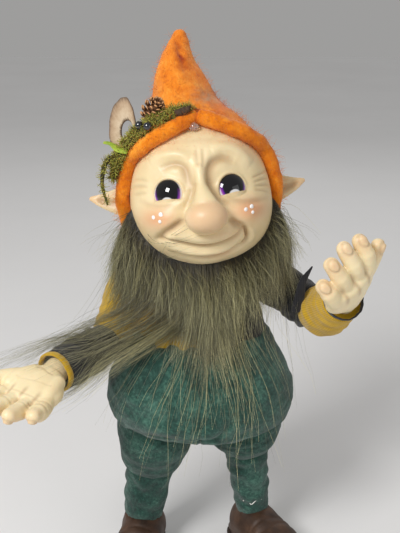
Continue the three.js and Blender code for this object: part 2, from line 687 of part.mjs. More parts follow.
function headForm(grow = 0, sides = 32, rows = 18) {
  const rings = Array.from({ length: rows - 1 }, (_, row) => {
    const lift = -Math.PI / 2 + (Math.PI * (row + 1)) / rows;
    return Array.from({ length: sides }, (_, side) => onHead((2 * Math.PI * side) / sides, lift, grow));
  });
  return skin(onHead(0, -Math.PI / 2, grow), rings, onHead(0, Math.PI / 2, grow));
}

// The head with its face: rows and columns crowd where the modelling is.
function facedHead(grow = 0) {
  const [faceColumns, backColumns, faceRows] = [30, 5, 22];
  const turns = [
    ...Array.from({ length: faceColumns }, (_, k) => rad(-78 + (156 * k) / (faceColumns - 1))),
    ...Array.from({ length: backColumns }, (_, k) => rad(78 + (204 * (k + 1)) / (backColumns + 1))),
  ];
  const place = (lift, turn) => {
    const at = onHead(turn, lift, grow);
    const way = headWay(turn, lift);
    const facing = THREE.MathUtils.smoothstep(-way.y, 0.05, 0.45);
    return at.addScaledVector(vec(way.x * 0.35, way.y, way.z * 0.35), faceRelief(at.x, at.z) * facing);
  };
  const faceLifts = Array.from({ length: faceRows }, (_, row) => -64 + (98 * row) / (faceRows - 1));
  const lifts = [-76, ...faceLifts, 42, 52, 64, 77];
  const rings = lifts.map((lift) => turns.map((turn) => place(rad(lift), turn)));
  return skin(place(-Math.PI / 2, 0), rings, place(Math.PI / 2, 0));
}

// The hat's edge: how high it lies on the head at each turn from the front.
const edgeLift = (turn) => {
  const degrees = Math.abs(THREE.MathUtils.radToDeg(turn));
  const down = THREE.MathUtils.smoothstep(degrees, ...edgeTurnsDown);
  return rad(THREE.MathUtils.lerp(edgeFrontLift - edgeSlope * degrees, edgeBackLift, down));
};

function brimForm(grow = 0, sides = 7) {
  const around = 30;
  const centres = Array.from({ length: around }, (_, k) => {
    const turn = -Math.PI + (2 * Math.PI * k) / around;
    return onHead(turn, edgeLift(turn), brimRadius + seatGap + 0.2);
  });
  const path = new THREE.CatmullRomCurve3(centres, true);
  const ring = Array.from({ length: sides }, (_, k) => {
    const angle = (2 * Math.PI * k) / sides;
    return new THREE.Vector2(Math.cos(angle) * (brimRadius + grow), Math.sin(angle) * (brimRadius + grow));
  });
  const points = [];
  const faces = [];
  for (let k = 0; k < around; k++) {
    const centre = path.getPointAt(k / around);
    const tangent = path.getTangentAt(k / around);
    const outward = centre.clone().normalize();
    const across = vec(0, 0, 0).crossVectors(tangent, outward).normalize();
    const rise = vec(0, 0, 0).crossVectors(across, tangent);
    for (const { x, y } of ring) {
      points.push(centre.clone().addScaledVector(across, x).addScaledVector(rise, y));
    }
    for (let side = 0; side < sides; side++) {
      const [a, b] = [k * sides + side, k * sides + ((side + 1) % sides)];
      const next = ((k + 1) % around) * sides;
      const [c, d] = [next + side, next + ((side + 1) % sides)];
      faces.push(a, b, c, b, d, c);
    }
  }
  return facingOut(points, faces);
}

function hatOutside(grow = 0) {
  const crown = headForm(seatGap + 0.4 + feltThickness + grow, 18, 9);
  const rise = hatHeight - crownHeight;
  const cone = limb(
    [
      vec(-1, 5, 8),
      vec(0, 4.5, crownHeight - 12),
      vec(-2.2, 4, crownHeight + rise * 0.2),
      vec(-5, 4.5, crownHeight + rise * 0.58),
      vec(-2.5, 5, hatHeight - 3),
    ],
    circles(hatBaseRadius, hatBaseRadius * 0.95, hatBaseRadius * 0.65, hatBaseRadius * 0.37, hatTipRadius),
    { sides: 14, steps: 7, dome: 0.9, rootDome: 0, grow, up: yAxis },
  );
  return join(crown, cone);
}

// Everything below the hat's edge, as seen from the middle of the head.
function belowEdge() {
  const [sides, rows, reach] = [28, 2, 90];
  const place = (lift, turn) => headWay(turn, lift).multiplyScalar(reach);
  const turnAt = (side) => -Math.PI + (2 * Math.PI * side) / sides;
  const rings = Array.from({ length: rows }, (_, row) =>
    Array.from({ length: sides }, (_, side) => {
      const lift = THREE.MathUtils.lerp(-Math.PI / 2, edgeLift(turnAt(side)) - rad(2), (row + 1) / rows);
      return place(lift, turnAt(side));
    }),
  );
  return skin(place(-Math.PI / 2, 0), rings, vec(0, 0, 0));
}

function ear(side, grow = 0) {
  return limb(
    [
      vec(side * (headHalfWidth - 6), 3, earRise - 1),
      vec(side * (headHalfWidth + 5), 5, earRise),
      vec(side * (earReach - 7), 7.5, earRise + 1),
      vec(side * (earReach - 1), 10, earRise + 2.5),
    ],
    [
      [earHalfThickness, earHalfHeight * 0.8],
      [earHalfThickness, earHalfHeight],
      [earHalfThickness * 0.75, earHalfHeight * 0.62],
      [earHalfThickness * 0.3, earHalfHeight * 0.15],
    ],
    { sides: 8, steps: 5, dome: 0.8, rootDome: 0, grow },
  );
}

function earHollow(side) {
  return limb(
    [
      vec(side * headHalfWidth, -1.6, earRise),
      vec(side * (headHalfWidth + 7), 1.2, earRise),
      vec(side * (earReach - 6), 4.2, earRise + 1.2),
    ],
    [[2.2, earHalfHeight * 0.55], [2.2, earHalfHeight * 0.62], [1.2, earHalfHeight * 0.2]],
    { sides: 6, steps: 4, dome: 0.5 },
  );
}

function eyeForm(side, grow = 0) {
  const profile = [new THREE.Vector2(0, -grow), new THREE.Vector2(eyeRadius + grow, -grow)];
  const steps = 4;
  for (let k = 0; k <= steps; k++) {
    const angle = (Math.PI / 2) * (k / steps);
    profile.push(new THREE.Vector2(Math.cos(angle), Math.sin(angle)).multiplyScalar(eyeRadius + grow));
  }
  profile[profile.length - 1].x = 0;
  return new THREE.LatheGeometry(profile, 14)
    .rotateX(Math.PI)
    .rotateZ(side * rad(14))
    .translate(side * eyeSpreads[side < 0 ? 0 : 1], eyeCentreY, eyeRise);
}

function nose() {
  return limb(
    [
      vec(0, -headHalfDepth + 2, -noseDrop + 9),
      vec(0, -headHalfDepth - 1, -noseDrop + 3),
      vec(0, -headHalfDepth - 2, -noseDrop - 1),
    ],
    [[3.6, 4.5], [noseHalfWidth * 0.72, noseReach * 0.7], [noseHalfWidth, noseReach]],
    { sides: 14, steps: 5, dome: 0.72, up: yAxis },
  );
}

function buildHead() {
  const onAxis = (height) => vec(0, neckAxisY, height);
  const neckTop = onAxis(headCentre.z - chinDrop * 0.6);
  const neck = rod(onAxis(collarHeight - neckIntoCollar), neckTop, neckRadius, 12).applyMatrix4(toHead);
  const postTop = onAxis(collarHeight + neckPostInHead + seatGap);
  const postLow = onAxis(collarHeight - 10);
  const postRoom = rod(postLow, postTop, neckPostRadius + wireGap, 12).applyMatrix4(toHead);
  const eyeRooms = [-1, 1].map((side) => eyeForm(side, seatGap));
  const form = join(facedHead(), nose(), neck);
  piece('head', carve(form, postRoom, ...eyeRooms), finishes.clay, headGroup);
  const earRoot = headForm(seatGap + 0.5, 26, 14);
  [-1, 1].forEach((side, i) => {
    piece(`${sideNames[i]}_eye`, eyeForm(side), finishes.eye, headGroup);
    piece(`${sideNames[i]}_ear`, carve(ear(side), earRoot, earHollow(side)), finishes.clay, headGroup);
  });
}

function buildHat() {
  const earRooms = [-1, 1].map((side) => ear(side, seatGap));
  const inside = headForm(seatGap + 0.7, 18, 9);
  const hat = carve(hatOutside(), inside, belowEdge(), brimForm(seatGap + 0.7, 6), ...earRooms);
  piece('felt_hat', hat, finishes.feltOrange, headGroup);
  piece('hat_brim', carve(brimForm(), ...earRooms), finishes.feltBrim, headGroup);
}

// Scales round a core, each a golden angle on from the last.
function pineCone() {
  const core = limb(
    [vec(0, 0, -coneLength * 0.4), vec(0, 0, coneLength * 0.4)],
    circles(coneRadius * 0.5, coneRadius * 0.66, coneRadius * 0.3),
    { sides: 10, steps: 4, dome: 0.8, up: yAxis },
  );
  const goldenAngle = Math.PI * (3 - Math.sqrt(5));
  const scales = Array.from({ length: coneScales }, (_, k) => {
    const share = (k + 0.5) / coneScales;
    const reach = coneRadius * (0.55 + 0.45 * Math.sin(Math.PI * (0.15 + 0.75 * share)));
    return new THREE.ConeGeometry(coneScaleRadius, reach, 3, 1)
      .rotateZ(-Math.PI / 2)
      .scale(1, 1, 0.5)
      .translate(reach / 2, 0, 0)
      .rotateY(rad(-24))
      .rotateZ(k * goldenAngle)
      .translate(0, 0, (share - 0.5) * coneLength * 0.86 - 0.5);
  });
  return join(core, ...scales);
}

function mossTuft(base, way, length) {
  const middle = along(base, way, length * 0.5).add(vec(0.3, -0.3, 0));
  return limb(
    [base, middle, along(base, way, length)],
    circles(tuftRadius, tuftRadius * 0.7, tuftRadius * 0.2),
    { sides: 4, steps: 2, dome: 0, up: vec(0.3, 0.9, 0.2) },
  );
}

function buildHatDressing() {
  const hatRoom = hatOutside(seatGap);
  const brimRoom = brimForm(seatGap);
  const bedLine = mossPlaces.map(onHat);
  const bed = (grow) => limb(bedLine, mossSizes, { sides: 7, steps: 7, dome: 0.6, grow });
  const bedCurve = new THREE.CatmullRomCurve3(bedLine);
  const tufts = Array.from({ length: mossTufts }, (_, k) => {
    const at = bedCurve.getPointAt((k + 0.5) / mossTufts);
    const lean = vec(0.35 * Math.sin(k * 2.3), 0.3 * Math.cos(k * 1.7), 0.4 * Math.sin(k * 3.1));
    const way = at.clone().normalize().add(lean).normalize();
    return mossTuft(at, way, tuftLength + Math.sin(k * 5.1));
  });
  const moss = carve(join(bed(0), ...tufts), hatRoom, brimRoom);
  piece('moss_bed', moss, finishes.moss, headGroup);
  const clear = [moss, bed(seatGap), hatRoom, brimRoom];

  const [coneForward, coneRound] = coneTilt.map(rad);
  const coneAt = (geometry) =>
    geometry.rotateX(coneForward).rotateZ(coneRound).translate(...onHat(conePlace));
  piece('pine_cone', carve(coneAt(pineCone()), ...clear), finishes.cone, headGroup);
  const coneLine = [vec(0, 0, -coneLength * 0.5), vec(0, 0, coneLength * 0.5)];
  const coneRoom = coneAt(
    limb(coneLine, circles(coneRadius + 1.2), { sides: 12, steps: 1, dome: 0.5, up: yAxis }),
  );

  const [sliceOver, sliceRound] = sliceTilt.map(rad);
  const sliceAt = (geometry) =>
    geometry.rotateX(Math.PI / 2).rotateY(sliceOver).rotateZ(sliceRound).translate(...onHat(slicePlace));
  const disc = (wide, high, thick) =>
    new THREE.CylinderGeometry(1, 1, thick, 20).rotateX(Math.PI / 2).scale(wide, high, 1);
  const hole = disc(fungusHoleHalfWidth, fungusHoleHalfHeight, fungusThickness * 3)
    .translate(fungusHalfWidth * 0.45, -fungusHalfHeight * 0.2, 0);
  const slice = sliceAt(carve(disc(fungusHalfWidth, fungusHalfHeight, fungusThickness), hole));
  piece('fungus_ring', carve(slice, ...clear, coneRoom), finishes.fungus, headGroup);
  const sliceRoom = sliceAt(
    disc(fungusHalfWidth + seatGap, fungusHalfHeight + seatGap, fungusThickness + 2 * seatGap),
  );

  const trail = limb(trailPlaces.map(onHat), trailSizes, { sides: 5, steps: 6, dome: 0.5, up: yAxis });
  piece('moss_trail', carve(trail, ...clear, sliceRoom), finishes.moss, headGroup);
  const blade = limb(bladePlaces.map(onHat), bladeSizes, { sides: 5, steps: 5, dome: 0.8, up: yAxis });
  piece('grass_blade', carve(blade, ...clear, sliceRoom), finishes.blade, headGroup);
  beadPlaces.map(onHat).forEach((at, k) => {
    const bead = carve(ball(at, beadRadius, 8, 6), ...clear, coneRoom, sliceRoom);
    piece(`hat_bead_${k + 1}`, bead, finishes.bead, headGroup);
  });
  const twig = limb(twigPlaces.map(onHat), twigSizes, { sides: 5, steps: 3, dome: 0.5 });
  piece('twig', carve(twig, ...clear, coneRoom), finishes.twig, headGroup);
  const glue = ball(onHat(gluePlace), glueRadius, 10, 6);
  piece('glue_drop', carve(glue, brimRoom, facedHead(seatGap)), finishes.glue, headGroup);
}

// Beard: tapered locks of hair, rooted along the jaw and hanging clear of the clothes

function lock(root, fall, drift, length) {
  const tip = root.clone().add(vec(drift, -locksForward, -length));
  const middle = root.clone().lerp(tip, 0.5).add(fall);
  const size = (share, depthShare) => [lockHalfWidth * share, lockHalfThickness * depthShare];
  return limb(
    [root, middle, tip],
    [size(1, 1), size(1.1, 1), size(0.35, 0.35)],
    { sides: 6, steps: 3, dome: 0.6, rootDome: 0, up: yAxis },
  );
}

function buildBeard() {
  const fromHead = headGroup.matrix;
  const jaw = (turn, lift) =>
    onHead(rad(turn), rad(lift), lockHalfThickness * 0.5).applyMatrix4(fromHead);
  const clear = [
    facedHead(seatGap).applyMatrix4(fromHead),
    brimForm(seatGap).applyMatrix4(fromHead),
    clothesRoom,
    ...[0, 1].flatMap((i) => [sleeveForm(i, jointGap), forearmSleeve(i, jointGap, 12, 3)]),
  ];
  const chin = chinLockTurns.map((turn, k) => {
    const root = jaw(turn, chinLockLift + Math.abs(turn) * 0.3);
    return lock(root, vec(turn * 0.12, -4, 0), turn * 0.3, beardLength * (k % 2 === 0 ? 0.9 : 1));
  });
  const right = rightLocks.map(([turn, lift, share]) =>
    lock(jaw(turn, lift), vec(-3, -5, 2), -6, beardLength * share));
  const left = leftLocks.map(([turn, lift, share]) =>
    lock(jaw(turn, lift), vec(2, -4, 0), 1, beardLength * share));
  const middle = join(...chin);
  piece('beard_chin', carve(middle, ...clear), finishes.hair);
  piece('beard_right', carve(join(...right), ...clear, middle), finishes.hair);
  piece('beard_left', carve(join(...left), ...clear, middle), finishes.hair);
}

buildTorso();
[0, 1].forEach(buildLeg);
[0, 1].forEach(buildUpperArm);
[0, 1].forEach(buildForearm);
buildHead();
buildHat();
buildHatDressing();
buildBeard();

// The origin is on the floor, under the middle of the figure's outer box.
figure.updateMatrixWorld(true);
const outside = new THREE.Box3().setFromObject(figure, true);
const middle = outside.getCenter(vec(0, 0, 0));
figure.position.set(-middle.x, -middle.y, -outside.min.z);

export default figure;
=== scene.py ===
import math

import bmesh
import bpy
import numpy as np
from mathutils import Euler, Matrix, Vector


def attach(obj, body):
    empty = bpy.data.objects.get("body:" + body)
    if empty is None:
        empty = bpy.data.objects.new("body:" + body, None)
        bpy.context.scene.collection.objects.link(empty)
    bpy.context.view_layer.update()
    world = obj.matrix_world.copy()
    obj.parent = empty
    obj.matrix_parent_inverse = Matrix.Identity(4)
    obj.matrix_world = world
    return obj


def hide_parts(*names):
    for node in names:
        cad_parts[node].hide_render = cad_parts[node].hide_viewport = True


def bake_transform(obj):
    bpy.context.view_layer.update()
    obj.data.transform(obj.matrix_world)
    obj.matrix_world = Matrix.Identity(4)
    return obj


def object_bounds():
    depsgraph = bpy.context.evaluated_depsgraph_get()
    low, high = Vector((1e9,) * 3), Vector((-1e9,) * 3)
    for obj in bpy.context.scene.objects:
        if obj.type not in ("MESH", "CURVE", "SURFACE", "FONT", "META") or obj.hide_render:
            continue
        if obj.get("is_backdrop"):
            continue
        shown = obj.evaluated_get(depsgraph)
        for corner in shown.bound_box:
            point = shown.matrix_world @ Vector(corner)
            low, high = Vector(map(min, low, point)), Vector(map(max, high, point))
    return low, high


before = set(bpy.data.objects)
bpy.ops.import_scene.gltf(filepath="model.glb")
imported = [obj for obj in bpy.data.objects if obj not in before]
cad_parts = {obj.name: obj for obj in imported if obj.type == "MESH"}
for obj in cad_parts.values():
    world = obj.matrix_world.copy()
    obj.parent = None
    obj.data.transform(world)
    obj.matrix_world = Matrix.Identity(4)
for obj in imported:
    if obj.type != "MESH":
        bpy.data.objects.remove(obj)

cadLow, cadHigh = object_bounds()

# Everything is modelled in millimetres round the doll's own middle, then put in the frame.
mm = 0.001
figureShift = np.array([9.563, 23.258, 0.0])
across = np.array([1.0, 0.0, 0.0])
fullTurn = 2 * np.pi


def vec(*parts):
    return np.array(parts, float)


def unit(v):
    v = np.asarray(v, float)
    return v / np.maximum(np.linalg.norm(v, axis=-1, keepdims=True), 1e-9)


def inFrame(points):
    return (np.asarray(points, float).reshape(-1, 3) + figureShift) * mm


def place(p):
    return tuple(float(x) for x in inFrame(p)[0])


def smoothstep(x, low, high):
    t = np.clip((np.asarray(x, float) - low) / (high - low), 0, 1)
    return t * t * (3 - 2 * t)


def bell(x, wide):
    return np.exp(-((np.asarray(x, float) / wide) ** 2))


def around(count):  # angles once round, the first not repeated
    return np.linspace(0, fullTurn, count, endpoint=False)


# Soft random lumps, the same on each run: a few waves in fixed random directions.
def lumps(points, size, seed, waves=14):
    dice = np.random.default_rng(seed)
    total = np.zeros(len(points))
    for _ in range(waves):
        way = unit(dice.normal(size=3)) * 2 * np.pi / (size * dice.uniform(0.7, 1.5))
        total += np.sin(points @ way + dice.uniform(0, 6.3))
    return total / math.sqrt(waves)


# Meshes

def link(name, data):
    obj = bpy.data.objects.new(name, data)
    bpy.context.scene.collection.objects.link(obj)
    return obj


def meshFrom(name, points, faces):
    mesh = bpy.data.meshes.new(name)
    mesh.from_pydata(np.asarray(points).tolist(), [], [[int(i) for i in f] for f in faces])
    mesh.shade_smooth()
    return mesh


def newPiece(name, points, faces):
    return link(name, meshFrom(name, inFrame(points), faces))


def vertexRows(obj, key):
    rows = np.zeros(len(obj.data.vertices) * 3, np.float32)
    obj.data.vertices.foreach_get(key, rows)
    return rows.reshape(-1, 3).astype(float)


def pointsOf(obj):
    return vertexRows(obj, "co") / mm - figureShift


def normalsOf(obj):
    return vertexRows(obj, "normal")


def setPoints(obj, points):
    obj.data.vertices.foreach_set("co", inFrame(points).astype(np.float32).ravel())
    obj.data.update()
    return points


def swollen(obj, rise):  # pushed out along its normals
    return setPoints(obj, pointsOf(obj) + normalsOf(obj) * rise[:, None])


def bake(obj):  # modifiers become the plain mesh
    graph = bpy.context.evaluated_depsgraph_get()
    mesh = bpy.data.meshes.new_from_object(obj.evaluated_get(graph))
    obj.modifiers.clear()
    obj.data = mesh
    return obj


def joined(name, objects):
    first = objects[0]
    with bpy.context.temp_override(active_object=first, object=first, selected_objects=objects,
                                   selected_editable_objects=objects):
        bpy.ops.object.join()
    first.name = first.data.name = name
    return first


def melted(obj, voxel, relax=0):  # one skin round everything in the mesh
    remesh = obj.modifiers.new("remesh", "REMESH")
    remesh.mode, remesh.voxel_size, remesh.use_smooth_shade = "VOXEL", voxel * mm, True
    if relax:
        soften = obj.modifiers.new("relax", "SMOOTH")
        soften.factor, soften.iterations = 0.5, relax
    return bake(obj)


def paint(obj, name, values):
    layer = obj.data.attributes.get(name) or obj.data.attributes.new(name, "FLOAT", "POINT")
    layer.data.foreach_set("value", np.asarray(values, np.float32))


def wrap(obj, uv):  # one pair per vertex, in millimetres along the cloth
    layer = obj.data.uv_layers.new(name="cloth")
    corner = np.zeros(len(obj.data.loops), np.int32)
    obj.data.loops.foreach_get("vertex_index", corner)
    layer.data.foreach_set("uv", uv[corner].astype(np.float32).ravel())


def closeLine(points):  # a smooth line through the points, 24 steps from each to the next
    p = np.asarray(points, float)
    q = np.vstack([2 * p[0] - p[1], p, 2 * p[-1] - p[-2]])
    t = np.linspace(0, 1, 24, endpoint=False)[:, None]
    dense = []
    for k in range(len(p) - 1):
        a, b, c, d = q[k : k + 4]
        dense.append(0.5 * (2 * b + (c - a) * t + (2 * a - 5 * b + 4 * c - d) * t**2
                            + (3 * b - a - 3 * c + d) * t**3))
    return np.vstack([*dense, p[-1:]])


def smoothLine(points, count):  # the same line in even steps
    dense = closeLine(points)
    run = np.concatenate([[0], np.cumsum(np.linalg.norm(np.diff(dense, axis=0), axis=1) + 1e-9)])
    where = np.linspace(0, run[-1], count)
    return np.stack([np.interp(where, run, dense[:, k]) for k in range(dense.shape[1])], 1)


def outward(points, faces):  # a closed skin's faces, turned so that they hold a positive volume
    fans = np.array([(f[0], f[k], f[k + 1]) for f in faces for k in range(1, len(f) - 1)])
    a, b, c = (points[fans[:, k]] for k in range(3))
    return [f[::-1] for f in faces] if np.einsum("ij,ij->i", a, np.cross(b, c)).sum() < 0 else faces


def stacked(first, rings, last):  # rings of points from one pole to the other
    sides, top = len(rings[0]), len(rings) - 1
    points = np.vstack([np.reshape(first, (-1, 3)), *rings, np.reshape(last, (-1, 3))])
    k = np.arange(sides)

    def at(row, j):
        return 1 + row * sides + j % sides

    faces = np.stack([0 * k, at(0, k + 1), at(0, k)], 1).tolist()
    for r in range(top):
        faces += np.stack([at(r, k), at(r, k + 1), at(r + 1, k + 1), at(r + 1, k)], 1).tolist()
    faces += np.stack([0 * k + len(points) - 1, at(top, k), at(top, k + 1)], 1).tolist()
    return points, outward(points, faces)


def ringed(rings):  # rings that stand in a closed loop themselves
    loops, sides = rings.shape[:2]
    k, s = np.arange(loops)[:, None], np.arange(sides)[None]
    after, beside = (k + 1) % loops * sides, (s + 1) % sides
    quads = np.stack([k * sides + s, k * sides + beside, after + beside, after + s], -1)
    points = rings.reshape(-1, 3)
    return points, outward(points, quads.reshape(-1, 4).tolist())


def loft(line, sizes, sides=24, steps=24, side=across, domes=(1.0, 1.0)):
    centres = smoothLine(line, steps + 1)
    widths = closeLine(sizes if len(sizes) > 1 else [sizes[0]] * 2)
    widths = widths[np.linspace(0, len(widths) - 1, steps + 1).round().astype(int)]
    ways = unit(np.gradient(centres, axis=0))
    turn = around(sides)[:, None]
    caps = [15, 30, 45, 60, 75]

    def ring(k, tilt, dome):
        flat = unit(side - (side @ ways[k]) * ways[k])
        rise = np.cross(ways[k], flat)
        centre = centres[k] + ways[k] * dome * min(widths[k]) * math.sin(math.radians(tilt))
        oval = widths[k][0] * np.cos(turn) * flat + widths[k][1] * np.sin(turn) * rise
        return centre + math.cos(math.radians(tilt)) * oval

    rings = [ring(0, a, -domes[0]) for a in reversed(caps)] if domes[0] else []
    rings += [ring(k, 0, 0) for k in range(steps + 1)]
    rings += [ring(steps, a, domes[1]) for a in caps] if domes[1] else []
    first = centres[0] - ways[0] * domes[0] * min(widths[0])
    last = centres[-1] + ways[-1] * domes[1] * min(widths[-1])
    return stacked(first, rings, last)


def rounds(*radii):
    return [(r, r) for r in radii]


def lofted(name, *args, **more):
    return newPiece(name, *loft(*args, **more))


def ballPoints(centre, radii, sides=24, rows=14):
    turn = around(sides)
    rings = []
    for a in np.radians(np.linspace(-90, 90, rows + 1)[1:-1]):
        rings.append(centre + np.stack([radii[0] * math.cos(a) * np.cos(turn), radii[1] * math.cos(a) * np.sin(turn),
                                        np.full(sides, radii[2] * math.sin(a))], 1))
    return stacked(centre - vec(0, 0, radii[2]), rings, centre + vec(0, 0, radii[2]))


# Node trees

class Flow:  # a node's output, which can take part in sums
    def __init__(self, tree, socket):
        self.tree, self.socket = tree, socket

    def sum(self, how, other=0.0):
        return output(self.tree, "ShaderNodeMath", {0: self, 1: other}, operation=how)

    def __add__(self, other):
        return self.sum("ADD", other)

    def __sub__(self, other):
        return self.sum("SUBTRACT", other)

    def __mul__(self, other):
        return self.sum("MULTIPLY", other)

    def __truediv__(self, other):
        return self.sum("DIVIDE", other)


def addNode(tree, kind, inputs=None, **settings):
    node = tree.nodes.new(kind)
    for key, value in settings.items():
        setattr(node, key, value)
    for key, value in (inputs or {}).items():
        if isinstance(value, Flow):
            tree.links.new(value.socket, node.inputs[key])
        else:
            node.inputs[key].default_value = value
    return node


def output(tree, kind, inputs=None, pick=0, **settings):
    return Flow(tree, addNode(tree, kind, inputs, **settings).outputs[pick])


def srgb(*parts):
    return (*[c / 255 / 12.92 if c <= 10 else ((c / 255 + 0.055) / 1.055) ** 2.4 for c in parts], 1.0)


def newMaterial(name, sockets):
    material = bpy.data.materials.new(name)
    material.use_nodes = True
    tree = material.node_tree
    tree.nodes.clear()
    shader = addNode(tree, "ShaderNodeBsdfPrincipled", sockets)
    addNode(tree, "ShaderNodeOutputMaterial", {"Surface": Flow(tree, shader.outputs[0])})

    def coat(colour, height=None, strength=0.6, deep=0.1):
        tree.links.new(colour.socket, shader.inputs["Base Color"])
        if height:
            bump = addNode(tree, "ShaderNodeBump", {"Height": height, "Strength": strength, "Distance": deep * mm})
            tree.links.new(bump.outputs[0], shader.inputs["Normal"])
        return material

    return tree, coat


def objectPlace(tree, stretch=(1, 1, 1)):
    spot = output(tree, "ShaderNodeTexCoord", pick="Object")
    return output(tree, "ShaderNodeMapping", {"Vector": spot, "Scale": stretch})


def clothPlace(tree):  # the cloth map, and its two parts
    flat = output(tree, "ShaderNodeUVMap", uv_map="cloth")
    parts = addNode(tree, "ShaderNodeSeparateXYZ", {0: flat}).outputs
    return flat, Flow(tree, parts[0]), Flow(tree, parts[1])


def grain(tree, scale, detail=3.0, rough=0.6, where=None, twist=0.0):
    return output(tree, "ShaderNodeTexNoise", {"Vector": where or objectPlace(tree), "Scale": scale, "Detail": detail,
                                               "Roughness": rough, "Distortion": twist}, "Fac")


def ramp(factor, stops):  # (where, red, green, blue), or a linear colour with its alpha
    node = addNode(factor.tree, "ShaderNodeValToRGB", {"Fac": factor})
    band = node.color_ramp
    while len(band.elements) < len(stops):
        band.elements.new(0.5)
    for element, (where, *colour) in zip(band.elements, stops):
        element.position, element.color = where, srgb(*colour) if len(colour) == 3 else colour
    return Flow(factor.tree, node.outputs["Color"])


def mixed(factor, a, b, how="MIX"):
    tree = (a if isinstance(a, Flow) else b).tree
    return output(tree, "ShaderNodeMix", {0: factor, 6: a, 7: b}, 2, data_type="RGBA", blend_type=how)


def painted(tree, name):
    return output(tree, "ShaderNodeAttribute", pick="Fac", attribute_name=name)


def patched(colour, patches):  # painted places take their own tint
    for name, tint in patches.items():
        colour = mixed(painted(colour.tree, name), colour, srgb(*tint))
    return colour


# Finishes

def clayFinish(name, light, dark, flush):
    tree, coat = newMaterial(name, {"Roughness": 0.42, "Subsurface Weight": 0.12, "Subsurface Scale": 0.002,
                                    "Subsurface Radius": (1.0, 0.5, 0.25)})
    base = ramp(grain(tree, 60, 4), [(0.35, *light), (0.7, *dark)])
    # the hollow tint is painted shade in creases and hollows; blush and peach are the clay's own tints
    colour = patched(base, {"blush": flush, "peach": (222, 180, 140), "hollow": (150, 104, 58)})
    return coat(colour, grain(tree, 900, 5), 0.12, 0.25)


def clothMaterial(name, rough, sheen, sheenRough, shine):
    return newMaterial(name, {"Roughness": rough, "Sheen Weight": sheen, "Sheen Roughness": sheenRough,
                              "Specular IOR Level": shine})


def feltFinish(name, stops, patches):
    tree, coat = clothMaterial(name, 0.95, 0.2, 0.5, 0.15)
    broad = grain(tree, 95, 5, 0.65, twist=0.6)
    fine = grain(tree, 900, 3, 0.7, objectPlace(tree, (1, 1, 0.45)))
    return coat(patched(ramp(broad * 0.75 + fine * 0.25, stops), patches), fine, 0.7, 0.7)


def knitFinish(name, light, dark, stitch=(1.0, 0.8)):
    tree, coat = clothMaterial(name, 0.9, 0.3, 0.5, 0.2)
    _, u, v = clothPlace(tree)
    column = u.sum("PINGPONG", stitch[0] / 2)
    loop = (v / stitch[1] + column * 1.3).sum("PINGPONG", 0.5)
    height = loop * 1.2 + column * (2.0 / stitch[0]) * 0.5
    # painted shade: the yarn is darker where the stitch pattern lies low, between the loops, over a random yarn tone
    tone = height * 0.55 + grain(tree, 120, 4) * 0.5
    return coat(ramp(tone, [(0.25, *dark), (0.75, *light)]), height, 0.55, 0.35)


def fleeceFinish(name):
    tree, coat = clothMaterial(name, 0.97, 0.22, 0.6, 0.1)
    pile = grain(tree, 620, 5, 0.8)
    tone = pile * 0.6 + grain(tree, 90, 4) * 0.4
    return coat(ramp(tone, [(0.36, 17, 40, 35), (0.5, 36, 72, 62), (0.64, 74, 114, 99)]), pile, 0.6, 0.6)


def plainFinish(name, stops, scale, rough, bumpScale=0, bumpDeep=0.1, stretch=(1, 1, 1), **sockets):
    tree, coat = newMaterial(name, {"Roughness": rough, **sockets})
    where = objectPlace(tree, stretch)
    height = grain(tree, bumpScale, 4, 0.6, where) if bumpScale else None
    return coat(ramp(grain(tree, scale, 5, 0.6, where), stops), height, 0.6, bumpDeep)


faceClay = clayFinish("ivoryFaceClay", (234, 214, 172), (222, 200, 154), (218, 150, 106))
handClay = clayFinish("ivoryHandClay", (243, 226, 184), (234, 212, 166), (224, 178, 138))
# the dark red tint along the crease near the tip is painted shade in the fold
feltOrange = feltFinish("orangeFelt", [(0.3, 200, 98, 20), (0.5, 232, 132, 34), (0.68, 246, 164, 62)],
                        {"tipStreak": (150, 44, 14), "redPatch": (196, 72, 58), "greyFuzz": (176, 140, 106)})
# the notch tint is painted shade in the dent at the front of the brim
feltBrim = feltFinish("brimFelt", [(0.3, 198, 94, 10), (0.5, 230, 130, 22), (0.7, 246, 162, 52)],
                      {"notch": (132, 40, 10)})
knitYellow = knitFinish("yellowJersey", (216, 174, 30), (152, 114, 12))
knitBlack = knitFinish("blackJersey", (50, 50, 54), (12, 12, 14))
fleeceGreen = fleeceFinish("greenFleece")
shoeBrown = plainFinish("brownShoeLeather", [(0.3, 44, 28, 18), (0.6, 74, 50, 34), (0.8, 98, 70, 50)], 120, 0.55,
                        700, 0.25)
soleBrown = plainFinish("darkSoleLeather", [(0.3, 34, 22, 15), (0.7, 58, 40, 28)], 150, 0.75, 800, 0.2)
stuffingWhite = plainFinish("stuffing", [(0.3, 216, 212, 204), (0.7, 238, 236, 230)], 200, 0.98, 700, 0.8)
wireSteel = plainFinish("armatureWire", [(0.3, 120, 124, 128), (0.7, 160, 164, 168)], 300, 0.35, 900, 0.05,
                        Metallic=1.0)
dowelWood = plainFinish("neckDowel", [(0.3, 176, 138, 92), (0.7, 206, 172, 124)], 160, 0.7, 500, 0.1, (1, 1, 0.1))


# A piece rides on one body; one given a joint as (upper, lower, start, end) is not attached and stays where it is.
def mount(obj, body, slotName, material, *nodes):
    obj.data.materials.clear()
    obj.data.materials.append(material)
    if isinstance(body, str):
        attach(obj, body)
    else:
        upper, lower, start, end = body
        place(start)
        place(end)
        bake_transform(obj)
    if nodes:
        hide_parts(*nodes)
    return obj


print("stage: helpers and finishes")


# Camera, lamps, floor

